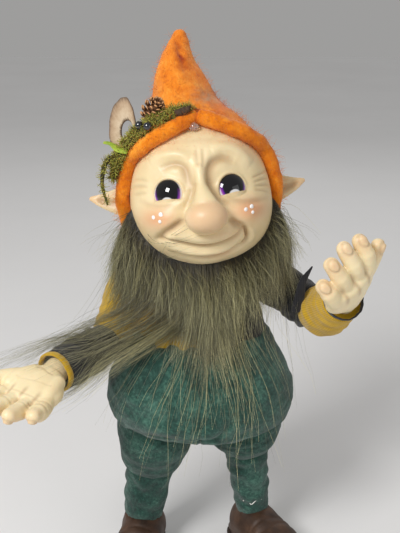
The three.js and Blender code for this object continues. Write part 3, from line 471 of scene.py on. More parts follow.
view = {"lens": 52.28, "away": vec(0, -359.3, 295.7), "pitch": 20.2, "key": 7.0, "fill": 0.9, "world": 0.42,
        "far": 0.341, "floorHalf": 3000}
camera = link("camera", bpy.data.cameras.new("camera"))
camera.data.lens, camera.data.sensor_width = view["lens"], 36
camera.location = place(view["away"])
camera.rotation_euler = (math.radians(90 - view["pitch"]), 0, 0)
camera.data.clip_start = 0.01
bpy.context.scene.camera = camera


def softLamp(name, where, aim, size, power):
    lamp = bpy.data.lights.new(name, "AREA")
    lamp.size, lamp.energy = size, power
    obj = link(name, lamp)
    obj.location = where
    obj.rotation_euler = (Vector(aim) - Vector(where)).to_track_quat("-Z", "Y").to_euler()


softLamp("keyLamp", (-0.45, -0.55, 0.75), (0, 0, 0.15), 0.32, view["key"])
softLamp("fillLamp", (0.7, -0.45, 0.35), (0, 0, 0.14), 0.6, view["fill"])
softLamp("backLamp", (0.2, 0.8, 0.7), (0, 0, 0.15), 0.5, view["fill"])

world = bpy.data.worlds.new("studio")
world.use_nodes = True
bpy.context.scene.world = world
sky = world.node_tree
sky.nodes.clear()
ray = addNode(sky, "ShaderNodeLightPath").outputs
seen = Flow(sky, ray["Is Camera Ray"])
for kind in ("Is Glossy Ray", "Is Transmission Ray"):
    seen = seen.sum("MAXIMUM", Flow(sky, ray[kind]))
lit = output(sky, "ShaderNodeBackground", {"Color": (1, 1, 1, 1), "Strength": view["world"]})
shown = output(sky, "ShaderNodeBackground", {"Color": (1, 0.99, 0.975, 1), "Strength": view["far"]})
addNode(sky, "ShaderNodeOutputWorld", {"Surface": output(sky, "ShaderNodeMixShader", {0: seen, 1: lit, 2: shown})})

corners = ((-1, -1), (1, -1), (1, 1), (-1, 1))
floor = newPiece("floor", [(x * view["floorHalf"], y * view["floorHalf"], -0.2) for x, y in corners], [(0, 1, 2, 3)])
floor.data.materials.append(plainFinish("paleFloor", [(0.3, 0.78, 0.77, 0.76, 1), (0.7, 0.82, 0.81, 0.8, 1)], 3, 0.9))
floor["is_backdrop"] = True
bpy.context.scene.view_settings.view_transform = "Standard"
print("stage: camera and floor")


# Head

head = {
    "half": (33.0, 31.0), "crown": 39.0, "chin": 32.5, "lean": (-15, -4, 4), "middle": vec(0, -3, 200), "voxel": 0.5,
    "eyeX": (-16.3, 13.2), "eyeZ": 2.3, "eyeRadius": 6.5, "lidZ": (-0.1, 0.5), "lidTilt": (0.0, 0.12),
    # glassDrop moves each eye's painted pattern so that its painted reflection sits just above the lid
    "glassDrop": (0.0, -0.15), "glassDeep": 1.6, "domeRise": 3.3, "domeSink": 2.3, "nose": vec(-0.4, -34.2, -8.9),
    "noseHalf": (9.6, 10.4, 7.4), "bridge": [(-1.2, -27.5, 12), (-0.9, -29.5, 4), (-0.2, -32.0, -4)],
    "bridgeSizes": [(3.2, 4.2), (4.0, 5.4), (7.4, 8.2)], "neckLine": [(0, 3, 160.6), (0, 3, 180)], "neckRadius": 8,
}
# creases and ridges of the face: places seen from the front (x, z), half-width, height
faceLines = [
    ([(-1.3, 21), (-2.0, 12.8)], 1.1, -0.7),
    ([(1.5, 21), (0.6, 12.6)], 1.1, -0.7),
    ([(-22.5, 17.0), (-17.5, 19.0), (-10.5, 19.2), (-5.0, 16.5)], 2.8, 1.7),
    ([(4.6, 19.5), (10.5, 20.6), (17.5, 17.8), (23, 12.5)], 2.8, 1.7),
    ([(-18.5, 13.2), (-13.5, 15.6), (-8.6, 14.6), (-6.9, 9.5), (-6.6, 4)], 2.3, -1.6),
    ([(2.9, 4), (3.6, 11.5), (6.5, 15.4), (10.8, 16.3), (15.5, 14.2)], 2.3, -1.9),
    ([(-4.2, 7), (-6.4, 0.5), (-9.6, -4)], 1.4, -0.9),
    ([(2.9, 8), (4.6, 2), (7.6, -2.5), (11.5, -5)], 1.4, -1.2),
    ([(-9.8, -9.5), (-14.5, -12.6), (-19.0, -15.2), (-22.5, -17.4)], 1.7, -2.1),
    ([(9.8, -10.5), (13, -13.4), (16.8, -15.4)], 1.7, -2.1),
    ([(-22.0, -17.3), (-15.2, -18.6), (-9.0, -20.5), (-1.5, -21.9), (6.1, -21.3), (12.6, -18.9), (16.6, -15.8)],
     0.8, -2.3),
    ([(-20, -15.8), (-12, -16.2), (-3, -18.3), (6, -18), (13, -15)], 2.4, 1.5),
    ([(-18.5, -20.3), (-9.3, -23.4), (-1.7, -24.6), (6.6, -24.2), (13.6, -21.2)], 1.7, 2.0),
    ([(-9, -26.3), (-1.7, -27.6), (6, -27.2), (13, -24.4), (16.5, -22.2)], 1.1, -1.5),
    ([(16.9, -14.8), (18.0, -17.6), (18.2, -20.6), (16.2, -23.0)], 0.85, -2.2),
    ([(20.2, -15.8), (21.2, -19), (20, -22.5)], 1.3, 0.9),
    ([(22.8, 6.2), (27, 7.8), (31.2, 9.4)], 0.7, -0.6),
    ([(23.3, 4.4), (27.5, 5.4), (31.6, 6.2)], 0.7, -0.7),
    ([(23.6, 2.6), (28, 2.8), (31.9, 2.8)], 0.7, -0.7),
    ([(23.4, 1.0), (28, 0.2), (31.4, -0.8)], 0.7, -0.6),
    ([(-31, 10.2), (-27, 10.0), (-24, 8.9)], 0.7, -0.5),
    ([(-31.6, 6.8), (-27.5, 6.9), (-24.4, 6.2)], 0.7, -0.6),
    ([(-31.4, 3.2), (-27.5, 3.7), (-24.6, 3.9)], 0.7, -0.5),
    ([(8, -0.6), (14.6, -3.4), (22.8, -4.2), (30.8, -3.4)], 1.3, -0.7),
    ([(-11.5, -1.2), (-17.4, -2.8), (-24.0, -1.8), (-29, 0.4)], 1.3, -0.6),
    ([(-18, 24.4), (-7, 25.4), (4, 25.2), (14, 23.6)], 1.6, -0.35),
    ([(-14, 28.6), (-4, 29.4), (8, 28.8)], 1.8, -0.3),
]
# broad forms, alike on both sides: distance from the middle, place up, half-width, half-height, rise
faceForms = [(14.5, 5, 8.5, 7.5, -2.6), (0, 7, 3.4, 10, 2.6), (19.5, -9.5, 8.5, 6.8, 4.4), (0, -18, 12, 4, 1.6),
             (0, -30.5, 10, 4, 2.6), (15, -1.6, 8.5, 2.2, 1.5)]
tipped = {axis: Matrix.Rotation(math.radians(a), 3, axis) for axis, a in zip("XYZ", head["lean"])}
headTurn = np.array(tipped["Z"] @ tipped["X"] @ tipped["Y"])


def fromHead(points):
    return np.asarray(points, float) @ headTurn.T + head["middle"]


def toHead(points):
    return (np.asarray(points, float) - head["middle"]) @ headTurn


def headSize(z, out=0.0):  # the skull's half-sizes, larger above the middle than below
    high = np.where(z > 0, head["crown"], head["chin"]) + out
    return np.stack([head["half"][0] + out + 0 * high, head["half"][1] + out + 0 * high, high], -1)


def onHead(turn, lift, out=0.0):  # degrees from the front, and up
    turn, lift, out = np.broadcast_arrays(*(np.asarray(x, float) for x in (turn, lift, out)))
    a, b = np.radians(turn), np.radians(lift)
    way = np.stack([np.cos(b) * np.sin(a), -np.cos(b) * np.cos(a), np.sin(b)], -1)
    return way * headSize(way[..., 2], out)


def headPiece(name, points, faces):
    return newPiece(name, fromHead(points), faces)


def alongLine(x, z, line):  # distance from a line seen from the front, and how far along it
    p = smoothLine(line, 12 * len(line))
    d = np.hypot(x[:, None] - p[None, :, 0], z[:, None] - p[None, :, 1])
    near = d.argmin(1)
    return d[np.arange(len(x)), near], near / (len(p) - 1)


def eyeFrame(side):
    x, z = head["eyeX"][side > 0], head["eyeZ"]
    sizes = headSize(vec(z))[0]
    y = -sizes[1] * math.sqrt(1 - (x / sizes[0]) ** 2 - (z / sizes[2]) ** 2)
    way = unit(unit(vec(x, y, z) / sizes**2) * 0.8 + vec(0, -1, 0) * 0.2)
    right = unit(np.cross(vec(0, 0, 1), way))
    return vec(x, y, z) - way * head["domeSink"], way, right, np.cross(way, right)


def domeHeight(r):
    base, rise = head["eyeRadius"] + 0.5, head["domeRise"]
    ball = (base**2 + rise**2) / (2 * rise)
    return np.sqrt(np.maximum(ball**2 - r**2, 0)) - (ball - rise)


def skullPoints():
    turns = np.linspace(-180, 180, 280, endpoint=False)
    rings = []
    for lift in np.linspace(-90, 90, 190)[1:-1]:
        at = onHead(turns, lift)
        way = at / headSize(0 * turns + lift)
        jowl = np.where(turns > 0, 2.9, 0.9) * bell(np.abs(turns) - 68, 34) * bell(lift + 34, 30)
        at = at + way * jowl[:, None]
        form = sum(rise * np.exp(-(((np.abs(at[:, 0]) - x) / wide) ** 2) - ((at[:, 2] - z) / high) ** 2)
                   for x, z, wide, high, rise in faceForms)
        rings.append(at + way * vec(0.35, 1, 0.35) * (form * smoothstep(-way[:, 1], 0.05, 0.45))[:, None])
    return stacked(vec(0, 0, -head["chin"]), rings, vec(0, 0, head["crown"]))


def socketed(p, side):  # how far the clay moves round one eye, and the rim's shade
    base, way, right, tall = eyeFrame(side)
    u, v, h = (p - base) @ right, (p - base) @ tall, (p - base) @ way
    r = np.hypot(u, v)
    near = (h > -9) & (r < 11)
    lid = head["lidZ"][side > 0] - head["eyeZ"] + 0.35 * bell(u, 3) + u * head["lidTilt"][side > 0]
    outside = np.maximum(r - head["eyeRadius"], lid - v)
    dome = domeHeight(np.minimum(r, head["eyeRadius"] + 0.5))
    brow = 0.7 * bell(outside - 0.7, 0.8) * smoothstep(v, lid, 3)
    cheek = np.where(v < lid + 0.3, np.maximum(dome + 0.5 - h, 0) * smoothstep(7.6 - r, 0, 0.9), 0)
    inside = smoothstep(-outside, -0.15, 0.45)
    sink = (dome - 1.0 - h) * inside * (h > dome - 1.0)
    move = np.where(near, (brow + cheek) * (1 - inside) + sink, 0)
    return way * move[:, None], np.where(near, bell(outside - 0.1, 0.55), 0)


def sculptHead():
    nose, noseHalf = head["nose"], head["noseHalf"]
    bits = [newPiece("skull", *skullPoints()), newPiece("bulb", *ballPoints(nose, noseHalf, 64, 40)),
            lofted("bridge", head["bridge"], head["bridgeSizes"], 48, 30),
            lofted("neck", toHead(head["neckLine"]), rounds(head["neckRadius"]), 40, 20, domes=(0, 0))]
    clay = melted(joined("head_clay", bits), head["voxel"], 3)
    p, n = pointsOf(clay), normalsOf(clay)
    x, z = p[:, 0], p[:, 2]
    front = smoothstep(-p[:, 1], 1, 8)
    offNose = np.hypot(x / noseHalf[0], (z - nose[2]) / noseHalf[2])
    onNose = smoothstep(1.2 - offNose, 0, 0.5) * smoothstep(-p[:, 1], 31, 34)
    rise = np.zeros(len(p))
    for line, wide, high in faceLines:
        d, t = alongLine(x, z, line)
        rise += high * bell(d, wide) * np.sqrt(np.clip(4 * t * (1 - t), 0.04, 1))
    rise *= front * (1 - smoothstep(onNose, 0.1, 0.5))
    p = p + n * rise[:, None]
    rim = np.zeros(len(p))
    for side in (-1, 1):
        move, shade = socketed(p, side)
        p, rim = p + move, np.maximum(rim, shade)
    cheeks = [0.75 * bell(x + 21.5, 7.5) * bell(z + 8, 4.6), 0.85 * bell(x - 20, 8) * bell(z + 7.5, 5),
              0.5 * bell(x - 5, 5) * bell(z + 26.5, 1.5)]
    paint(clay, "blush", np.maximum.reduce(cheeks) * front)
    paint(clay, "peach", (0.7 * onNose + 0.35 * bell(x - 8, 9) * bell(z + 17.5, 2.6) * (1 - onNose)) * front)
    # painted shade: the hollow mask darkens the face's creases and the rims round the eyes
    paint(clay, "hollow", np.clip(np.clip(-rise * 0.34, 0, 0.55) + 0.25 * rim * front, 0, 0.7))
    setPoints(clay, fromHead(p))
    return clay


clayHead = mount(sculptHead(), "head", "face_clay", faceClay, "head")
print("stage: head", len(clayHead.data.polygons))


# Glass eyes: a domed cabochon over a painted iris

def eyeFinish():
    tree, coat = newMaterial("eyeGlass", {"Roughness": 0.04, "Coat Weight": 0.6, "Coat Roughness": 0.02,
                                          "Specular IOR Level": 0.4})
    _, u, v = clothPlace(tree)

    def oval(cu, cv, wide, high):
        a, b = (u - cu) / wide, (v - cv) / high
        return (a * a + b * b).sum("SQRT")

    def within(shape, soft=0.05):
        return output(tree, "ShaderNodeMapRange", {0: shape, 1: 1 - soft, 2: 1 + soft, 3: 1.0, 4: 0.0})

    low = output(tree, "ShaderNodeMapRange", {0: v, 1: 0.42, 2: -0.25, 3: 0.0, 4: 1.0})
    violet = ramp(oval(0, 0, 0.9, 1.0), [(0.70, 44, 10, 74), (0.84, 92, 26, 160), (0.97, 150, 60, 170)])
    colour = mixed(within(oval(0, 0.05, 0.93, 1.04)), srgb(226, 222, 226), mixed(low, srgb(10, 8, 14), violet))
    colour = mixed(within(oval(0, 0.07, 0.78, 0.93), 0.07), colour, srgb(7, 6, 9))
    # the pale oval low in the iris is a painted reflection of the pale cheek and lid below
    return coat(mixed(within(oval(0.02, -0.5, 0.4, 0.3), 0.1), colour, srgb(214, 214, 216)))


eyeGlass = eyeFinish()
whitePaint = plainFinish("whitePaintDots", [(0.3, 250, 248, 246), (0.7, 240, 236, 232)], 300, 0.3)
dots = {"spots": [(-23.6, -7.3, 1.0), (-20.2, -6.0, 1.15), (-21.0, -9.3, 0.85),
                  (18.1, -6.9, 1.0), (20.9, -6.0, 1.15), (21.4, -9.0, 0.85)],  # x, z and radius
        "proud": 0.45, "sunk": 0.4, "rows": (0.3, 0.7, 1.1, 1.57, 2.2)}


def buildEye(side, name):
    base, way, right, tall = eyeFrame(side)
    radius, back = head["eyeRadius"] + 0.5, base - way * head["glassDeep"]
    turn = around(64)[:, None]
    circle = np.cos(turn) * right + np.sin(turn) * tall
    rings = [base + way * domeHeight(r) + circle * r for r in np.linspace(0.3, radius, 24)]
    rings += [back + circle * radius, back + circle * radius * 0.5]
    points, faces = stacked(base + way * domeHeight(0.0), rings, back)
    eye = headPiece(f"glass_{name}", points, faces)
    flat = np.stack([(points - base) @ right, (points - base) @ tall], 1)
    wrap(eye, flat / head["eyeRadius"] + [0, head["glassDrop"][side > 0]])
    mount(eye, "head", "eye_glass", eyeGlass, name)


def onFace(x, z):  # the clay's own surface at a place seen from the front
    p = toHead(pointsOf(clayHead))
    near = np.where((np.hypot(p[:, 0] - x, p[:, 2] - z) < 0.7) & (p[:, 1] < 0))[0]
    return p[near[p[near, 1].argmin()]]


def buildDots():
    bits, turn = [], around(20)[:, None]
    for x, z, radius in dots["spots"]:
        at = onFace(x, z)
        way = unit(at / vec(1, 1, 1.3))
        side = unit(np.cross(way, vec(0, 0, 1)))
        circle = np.cos(turn) * side + np.sin(turn) * np.cross(side, way)
        top = way * dots["proud"]
        rings = [at + top * math.cos(a) + circle * radius * math.sin(a) for a in dots["rows"]]
        bits.append(headPiece("dot", *stacked(at + top, rings, at - way * dots["sunk"])))
    mount(joined("cheek_dots", bits), "head", "face_clay", whitePaint)


buildEye(-1, "right_eye")
buildEye(1, "left_eye")
buildDots()
print("stage: eyes")


# Ears: from root to tip, how far out, back and up, and the part of their full height

ear = {"out": [27, 38, 46, 52], "back": [3, 5, 7.5, 10], "up": [0, 1, 2, 3.5], "tall": [0.8, 1, 0.62, 0.15],
       "sizes": [(3.0, 5.76), (3.0, 7.2), (2.25, 4.464), (0.9, 1.1)], "high": 7.2, "hollow": 2.3}


def buildEar(side, name):
    line = [vec(side * x, y, z) for x, y, z in zip(ear["out"], ear["back"], ear["up"])]
    points, faces = loft(line, ear["sizes"], 48, 60, side=vec(0, 1, 0), domes=(0, 0.8))
    run = np.abs(points[:, 0])
    back, up, tall = (np.interp(run, ear["out"], ear[key]) for key in ("back", "up", "tall"))
    rise = (points[:, 2] - up) / np.maximum(tall * ear["high"], 0.5)
    front = smoothstep(back - points[:, 1], 0, 1.5)
    bowl = front * bell(rise, 0.62) * smoothstep(run, 31, 35) * (1 - smoothstep(run, 46, 51))
    fold = front * bell(rise - 0.25, 0.2) * bell(run - 40, 7)
    points[:, 1] += ear["hollow"] * bowl - 0.9 * fold
    obj = headPiece(f"clay_{name}", points, faces)
    paint(obj, "blush", 0.35 * smoothstep(run, 42, 54))
    # painted shade: the hollow mask darkens the ear's bowl, less on its fold
    paint(obj, "hollow", np.clip(0.7 * bowl - 0.4 * fold, 0, 0.7))
    mount(obj, "head", "face_clay", faceClay, name)


buildEar(-1, "right_ear")
buildEar(1, "left_ear")
print("stage: ears")


# Hat: felted crown and cone, then the rolled brim

hat = {"gap": 0.75, "felt": 2.6, "brim": 3.5, "hug": 0.2, "voxel": 0.9, "lump": 0.55, "notch": 1.6, "crease": 1.2,
       "cone": [(-1, 5, 8), (-0.5, 4.5, 27), (-3.9, 4, 47), (-5, 4.5, 62.2), (-2.5, 5, 76)],
       "coneSizes": [(30, 30), (28, 28.5), (16.5, 18.5), (11.1, 11.1), (3.2, 3.2)]}


def edgeLift(turn):  # where the hat ends, in degrees up
    low = smoothstep(np.abs(turn), 74, 108)
    return (59 - 0.4 * np.abs(turn)) * (1 - low) - 30 * low


def buildHat():
    turns, share = np.linspace(-180, 180, 160, endpoint=False), np.linspace(0.985, 0, 70)
    edge, top = edgeLift(turns) - 1.5, head["crown"] + hat["gap"]
    rings = [onHead(turns, edge + (90 - edge) * s, hat["gap"] + out)
             for out, shares in ((hat["felt"], share), (0, share[::-1])) for s in shares]
    shell = newPiece("crown", *stacked(vec(0, 0, top + hat["felt"]), rings, vec(0, 0, top)))
    cone = lofted("cone", hat["cone"], hat["coneSizes"], 60, 60, domes=(0, 0.9))
    felt = melted(joined("felt_hood", [shell, cone]), hat["voxel"], 6)
    p, n = pointsOf(felt), normalsOf(felt)
    way = p / headSize(p[:, 2])
    off = np.linalg.norm(way, axis=1)
    turn, lift = np.degrees(np.arctan2(way[:, 0], -way[:, 1])), np.degrees(np.arcsin(np.clip(way[:, 2] / off, -1, 1)))
    below = smoothstep(edgeLift(turn) - 1 - lift, 0, 3)
    p = p * (1 - below * np.maximum(1 - 0.97 / off, 0))[:, None]
    x, y, z = p.T
    soft = lumps(p, 15, 3) * 0.6 + lumps(p, 6, 4) * 0.3
    crease = bell(x + 3.2 + 0.12 * (z - 66), 1.6) * bell(z - 66, 9) * (y < 4)
    outside = smoothstep(off, 1.06, 1.1) * (1 - below)
    p = p + n * ((hat["lump"] * soft - hat["crease"] * crease) * outside)[:, None]
    x, y, z = p.T
    # painted shade along the crease near the tip, a little uneven
    foldShade = bell(x + 3.4 + 0.12 * (z - 66), 2.6) * bell(z - 64, 10) * (y < 4)
    fuzzy = bell(x - 7, 8) * bell(z - 45, 4) * (y < 0)
    paint(felt, "tipStreak", np.clip(0.85 * foldShade * (0.75 + 0.4 * lumps(p, 4, 9)), 0, 1))
    paint(felt, "redPatch", 0.8 * bell(x - 17, 6) * bell(z - 43, 5) * (y < 4))
    paint(felt, "greyFuzz", np.clip(0.7 * fuzzy * (0.7 + 0.4 * lumps(p, 3, 5)), 0, 1))
    setPoints(felt, fromHead(p))
    return felt


def buildBrim():
    turns, sides = np.linspace(-180, 180, 300, endpoint=False), 28
    centres = onHead(turns, edgeLift(turns), hat["brim"] - hat["hug"])
    ways = unit(np.roll(centres, -1, 0) - np.roll(centres, 1, 0))
    flat = unit(np.cross(ways, unit(centres)))
    a = around(sides)[:, None]
    out = np.cos(a) * flat[:, None] + np.sin(a) * np.cross(flat, ways)[:, None]
    points, faces = ringed(centres[:, None] + hat["brim"] * out)
    out = out.reshape(-1, 3)
    notch = np.repeat(bell(turns - 1.5, 2.2), sides)
    rise = hat["lump"] * (0.35 * lumps(points, 7, 11) + 0.22 * lumps(points, 3, 12))
    rise -= hat["notch"] * notch * smoothstep(-out[:, 1], -0.3, 0.6)
    brim = headPiece("rolled_brim", points + out * rise[:, None], faces)
    # painted shade: the brim's dent at the front is painted dark
    paint(brim, "notch", 0.9 * notch)
    return brim


felted = mount(buildHat(), "head", "orange_felt", feltOrange, "felt_hat")
brim = mount(buildBrim(), "head", "brim_felt", feltBrim, "hat_brim")
print("stage: hat", len(felted.data.polygons))


# Geometry Nodes: small copies strewn over a surface

def newTree(name, sizes):
    tree = bpy.data.node_groups.new(name, "GeometryNodeTree")
    for label, (kind, value) in {"Surface": ("Geometry", None), **sizes}.items():
        socket = tree.interface.new_socket(label, in_out="INPUT", socket_type="NodeSocket" + kind)
        if value is not None:
            socket.default_value = value
    tree.interface.new_socket("Result", in_out="OUTPUT", socket_type="NodeSocketGeometry")
    return tree, {socket.name: Flow(tree, socket) for socket in addNode(tree, "NodeGroupInput").outputs}


def closeTree(tree, geometry, material):
    real = output(tree, "GeometryNodeRealizeInstances", {0: geometry})
    addNode(tree, "NodeGroupOutput", {0: output(tree, "GeometryNodeSetMaterial", {0: real, "Material": material})})
    return tree


def planted(tree, points, copy, turn, size):
    shape = output(tree, "GeometryNodeObjectInfo", {"Object": copy}, "Geometry")
    return output(tree, "GeometryNodeInstanceOnPoints", {"Points": points, "Instance": shape, "Rotation": turn,
                                                         "Scale": size})


def strewTree():
    tree, given = newTree("strew", {"Copy": ("Object", None), "Density": ("Float", 1e6), "Lean": ("Float", 0.5),
                                    "Smallest": ("Float", 0.6), "Largest": ("Float", 1.2), "Seed": ("Int", 1),
                                    "Finish": ("Material", None)})

    def drawn(low, high, seed):
        return output(tree, "FunctionNodeRandomValue", {2: low, 3: high, "Seed": seed}, 1, data_type="FLOAT")

    spread = addNode(tree, "GeometryNodeDistributePointsOnFaces",
                     {"Mesh": given["Surface"], "Density": given["Density"], "Seed": given["Seed"]}).outputs
    wild = output(tree, "FunctionNodeRandomValue", {0: (-1, -1, -1), 1: (1, 1, 1), "Seed": given["Seed"]},
                  data_type="FLOAT_VECTOR")
    tilt = output(tree, "ShaderNodeVectorMath", {0: wild, "Scale": given["Lean"]}, operation="SCALE")
    way = output(tree, "ShaderNodeVectorMath", {0: Flow(tree, spread["Normal"]), 1: tilt}, operation="ADD")
    stand = output(tree, "FunctionNodeAlignRotationToVector", {"Vector": way}, axis="Z")
    spin = output(tree, "FunctionNodeAxisAngleToRotation", {"Axis": (0, 0, 1), "Angle": drawn(0.0, 6.283, 7)})
    pose = output(tree, "FunctionNodeRotateRotation", {0: stand, 1: spin}, rotation_space="LOCAL")
    size = drawn(given["Smallest"], given["Largest"], 5)
    return closeTree(tree, planted(tree, Flow(tree, spread[0]), given["Copy"], pose, size), given["Finish"])


strew = strewTree()


def grow(obj, tree, values):
    nodes = obj.modifiers.new(obj.name, "NODES")
    nodes.node_group = tree
    for item in tree.interface.items_tree:
        if item.name in values:
            nodes[item.identifier] = values[item.name]
    return bake(obj)


def strewn(name, surface, copy, density, lean, sizes, seed, finish):
    return grow(link(name, surface.data.copy()), strew, {
        "Copy": copy, "Density": density, "Lean": lean, "Smallest": sizes[0], "Largest": sizes[1], "Seed": seed,
        "Finish": finish})


def seedShape(name, points, faces):  # a small shape at the origin, to be copied
    return bpy.data.objects.new(name, meshFrom(name, np.asarray(points) * mm, faces))


def fibreShape(name, length, thick, curl):
    steps = 3
    line = [vec(curl * math.sin(t * 2.4), curl * (1 - math.cos(t * 2.0)), length * t)
            for t in np.linspace(0, 1, steps + 1)]
    rings = [np.array([centre + thick * (1 - 0.75 * k / steps) * vec(math.cos(a), math.sin(a), 0)
                       for a in (0, 2.09, 4.19)]) for k, centre in enumerate(line[:-1])]
    return seedShape(name, *stacked(line[0] - vec(0, 0, thick), rings, line[-1]))


wool = {"fibre": (2.6, 0.045, 1.2), "lean": 1.1, "smallest": 0.5}
woolFibre = fibreShape("woolFibre", *wool["fibre"])
for name, surface, density, largest, seed, slotName, finish in (
        ("hat_fuzz", felted, 420000.0, 1.5, 2, "orange_felt", feltOrange),
        ("brim_fuzz", brim, 620000.0, 1.8, 3, "brim_felt", feltBrim)):
    fuzz = strewn(name, surface, woolFibre, density, wool["lean"], (wool["smallest"], largest), seed, finish)
    print("stage:", name, len(mount(fuzz, "head", slotName, finish).data.polygons))


# Hat dressing: moss, cone, fungus slice, beads, twig, grass blade and a drop of glue.
# A spot is degrees from the front, degrees up, and millimetres off the head.

dressing = {
    "mossSpots": [(-6, 60, 6.2), (-26, 55, 6.2), (-40, 50, 6.5), (-55, 43.5, 6.8), (-66, 36, 7.5), (-76, 26, 8.5),
                  (-82, 15, 8.5)],
    "mossSizes": [(2.1, 1.8), (2.9, 2.5), (3.1, 2.8), (3.1, 2.9), (2.8, 2.6), (2.4, 2.2), (1.7, 1.6)],
    "trailSpots": [(-76, 27, 8.5), (-76, 22, 13.5), (-76, 11, 14), (-74, 0, 12)],
    "trailSizes": [(1.5, 1.4), (1.1, 1.1), (0.8, 0.8), (0.4, 0.4)],
    "coneSpot": (-47, 54, 10.6), "coneTurn": (62, 0, 28), "coneScales": 64, "coneLong": 12.5, "coneRadius": 5.6,
    "sliceSpot": (-72, 42, 14), "sliceTurn": (90, 10, -24), "sliceHalf": (6.6, 12.4), "sliceThick": 1.8,
    "holeHalf": (2.9, 4.6), "holeAt": (2.9, -2.5), "beads": [(-54, 43.4, 10.4), (-44.5, 42.8, 9.4)],
    "twigSpots": [(-20.4, 52.2, 8.3), (-12.4, 53.8, 8.3), (-4.9, 57.3, 8.3)],
    "twigSizes": [(1.3, 1.3), (1.7, 1.6), (0.7, 0.6)],
    "bladeSpots": [(-66, 30, 7.5), (-70, 29.3, 11), (-76.5, 31.2, 14), (-78.8, 30.5, 17)],
    "bladeSizes": [(1.5, 0.6), (1.6, 0.55), (1.3, 0.5), (0.8, 0.4)], "beadRadius": 2.0, "dropSpot": (-3, 50, 1.9),
    "dropHalf": (2.3, 1.5, 1.8), "leaf": (2.2, 0.21, 0.9), "leafSizes": (0.5, 1.25),
}


def headLoft(name, kind, *args, **more):
    spots = [onHead(*spot) for spot in dressing[kind + "Spots"]]
    return headPiece(name, *loft(spots, dressing[kind + "Sizes"], *args, **more))


def onHat(points, kind):  # turned, and set down at its spot
    turn = np.array(Euler([math.radians(d) for d in dressing[kind + "Turn"]], "XYZ").to_matrix())
    return fromHead(np.asarray(points, float) @ turn.T + onHead(*dressing[kind + "Spot"]))


def leafFinish(name, stops, scale):
    tree, coat = newMaterial(name, {"Roughness": 0.7, "Subsurface Weight": 0.1, "Subsurface Scale": 0.001})
    return coat(ramp(grain(tree, scale, 3, 0.8), stops))


mossGreen = leafFinish("driedMoss", [(0.3, 74, 58, 28), (0.42, 130, 120, 46), (0.54, 188, 186, 82),
                                     (0.64, 122, 90, 50)], 420)
# the moss's body under the fronds is painted dark: painted shade deep between the fronds
mossEarth = plainFinish("mossEarth", [(0.35, 40, 36, 16), (0.7, 84, 82, 30)], 400, 0.95, 900, 0.6)


def buildMoss():
    core = headLoft("moss_cushion", "moss", 28, 80, domes=(0.6, 0.6))
    swollen(core, 0.5 * lumps(pointsOf(core), 3.5, 21))
    trail = headLoft("moss_sprig", "trail", 12, 40, domes=(0.5, 0.5))
    leaf = fibreShape("mossLeaf", *dressing["leaf"])
    for obj, node, density, seed in ((core, "moss_bed", 3.2e6, 4), (trail, "moss_trail", 1.5e6, 5)):
        fronds = strewn(obj.name + "_fronds", obj, leaf, density, 1.0, dressing["leafSizes"], seed, mossGreen)
        mount(fronds, "head", "moss", mossGreen)
        mount(obj, "head", "moss", mossEarth, node)


def coneTree():
    tree, given = newTree("coneScales", {"Copy": ("Object", None), "Count": ("Int", 60), "Length": ("Float", 0.012),
                                         "Radius": ("Float", 0.003), "Finish": ("Material", None)})
    row = output(tree, "GeometryNodeInputIndex")
    share, turn = row / given["Count"], row * (math.pi * (3 - math.sqrt(5)))
    swell = (share * 2.5 + 0.45).sum("SINE")
    out = swell * (given["Radius"] * 0.42)
    spot = output(tree, "ShaderNodeCombineXYZ", {0: turn.sum("COSINE") * out, 1: turn.sum("SINE") * out,
                                                 2: (share - 0.5) * given["Length"]})
    pose = output(tree, "ShaderNodeCombineXYZ", {0: 0.0, 1: share * -1.0 + 0.15, 2: turn})
    stand = output(tree, "FunctionNodeEulerToRotation", {0: pose})
    points = output(tree, "GeometryNodePoints", {"Count": given["Count"], "Position": spot})
    body = addNode(tree, "GeometryNodeJoinGeometry")
    for part in (planted(tree, points, given["Copy"], stand, swell * 0.5 + 0.5), given["Surface"]):
        tree.links.new(part.socket, body.inputs[0])
    return closeTree(tree, Flow(tree, body.outputs[0]), given["Finish"])


def coneFinish():
    tree, coat = newMaterial("coneWood", {"Roughness": 0.75})
    wood = ramp(grain(tree, 700, 4), [(0.3, 82, 52, 32), (0.7, 128, 86, 52)])
    return coat(patched(wood, {"tip": (212, 158, 106)}), grain(tree, 1500, 3), 0.5, 0.2)


def buildCone():
    # one scale: half its outline from root to tip, and how high its face stands there
    edge, high = np.array([(0, 0.3), (1.3, 0.7), (2.5, 1.15), (3.2, 1.0), (3.75, 0.35)]), [0.0, 0.05, 0.3, 0.75, 1.1]
    face = np.column_stack([np.vstack([edge, (edge * [1, -1])[::-1]]), high + high[::-1]])
    points, faces = stacked(vec(1.9, 0, 0.25), [face + vec(0, 0, 0.18), face - vec(0, 0, 0.25)], vec(1.9, 0, -0.3))
    scale = seedShape("coneScale", points * 0.92, faces)
    paint(scale, "tip", smoothstep(points[:, 0], 2.4, 3.7))
    long, radius = dressing["coneLong"], dressing["coneRadius"]
    core = loft([(0, 0, -long * 0.45), (0, 0, 0), (0, 0, long * 0.42)], rounds(2.0, 2.7, 0.9), 16, 10)
    cone = link("pine_cone_scales", meshFrom("pine_cone_scales", core[0] * mm, core[1]))
    paint(cone, "tip", np.zeros(len(core[0])))
    finish = coneFinish()
    grow(cone, coneTree(), {"Copy": scale, "Count": dressing["coneScales"], "Length": long * mm, "Radius": radius * mm,
                            "Finish": finish})
    setPoints(cone, onHat(pointsOf(cone) + figureShift, "cone"))
    mount(cone, "head", "cone_wood", finish, "pine_cone")


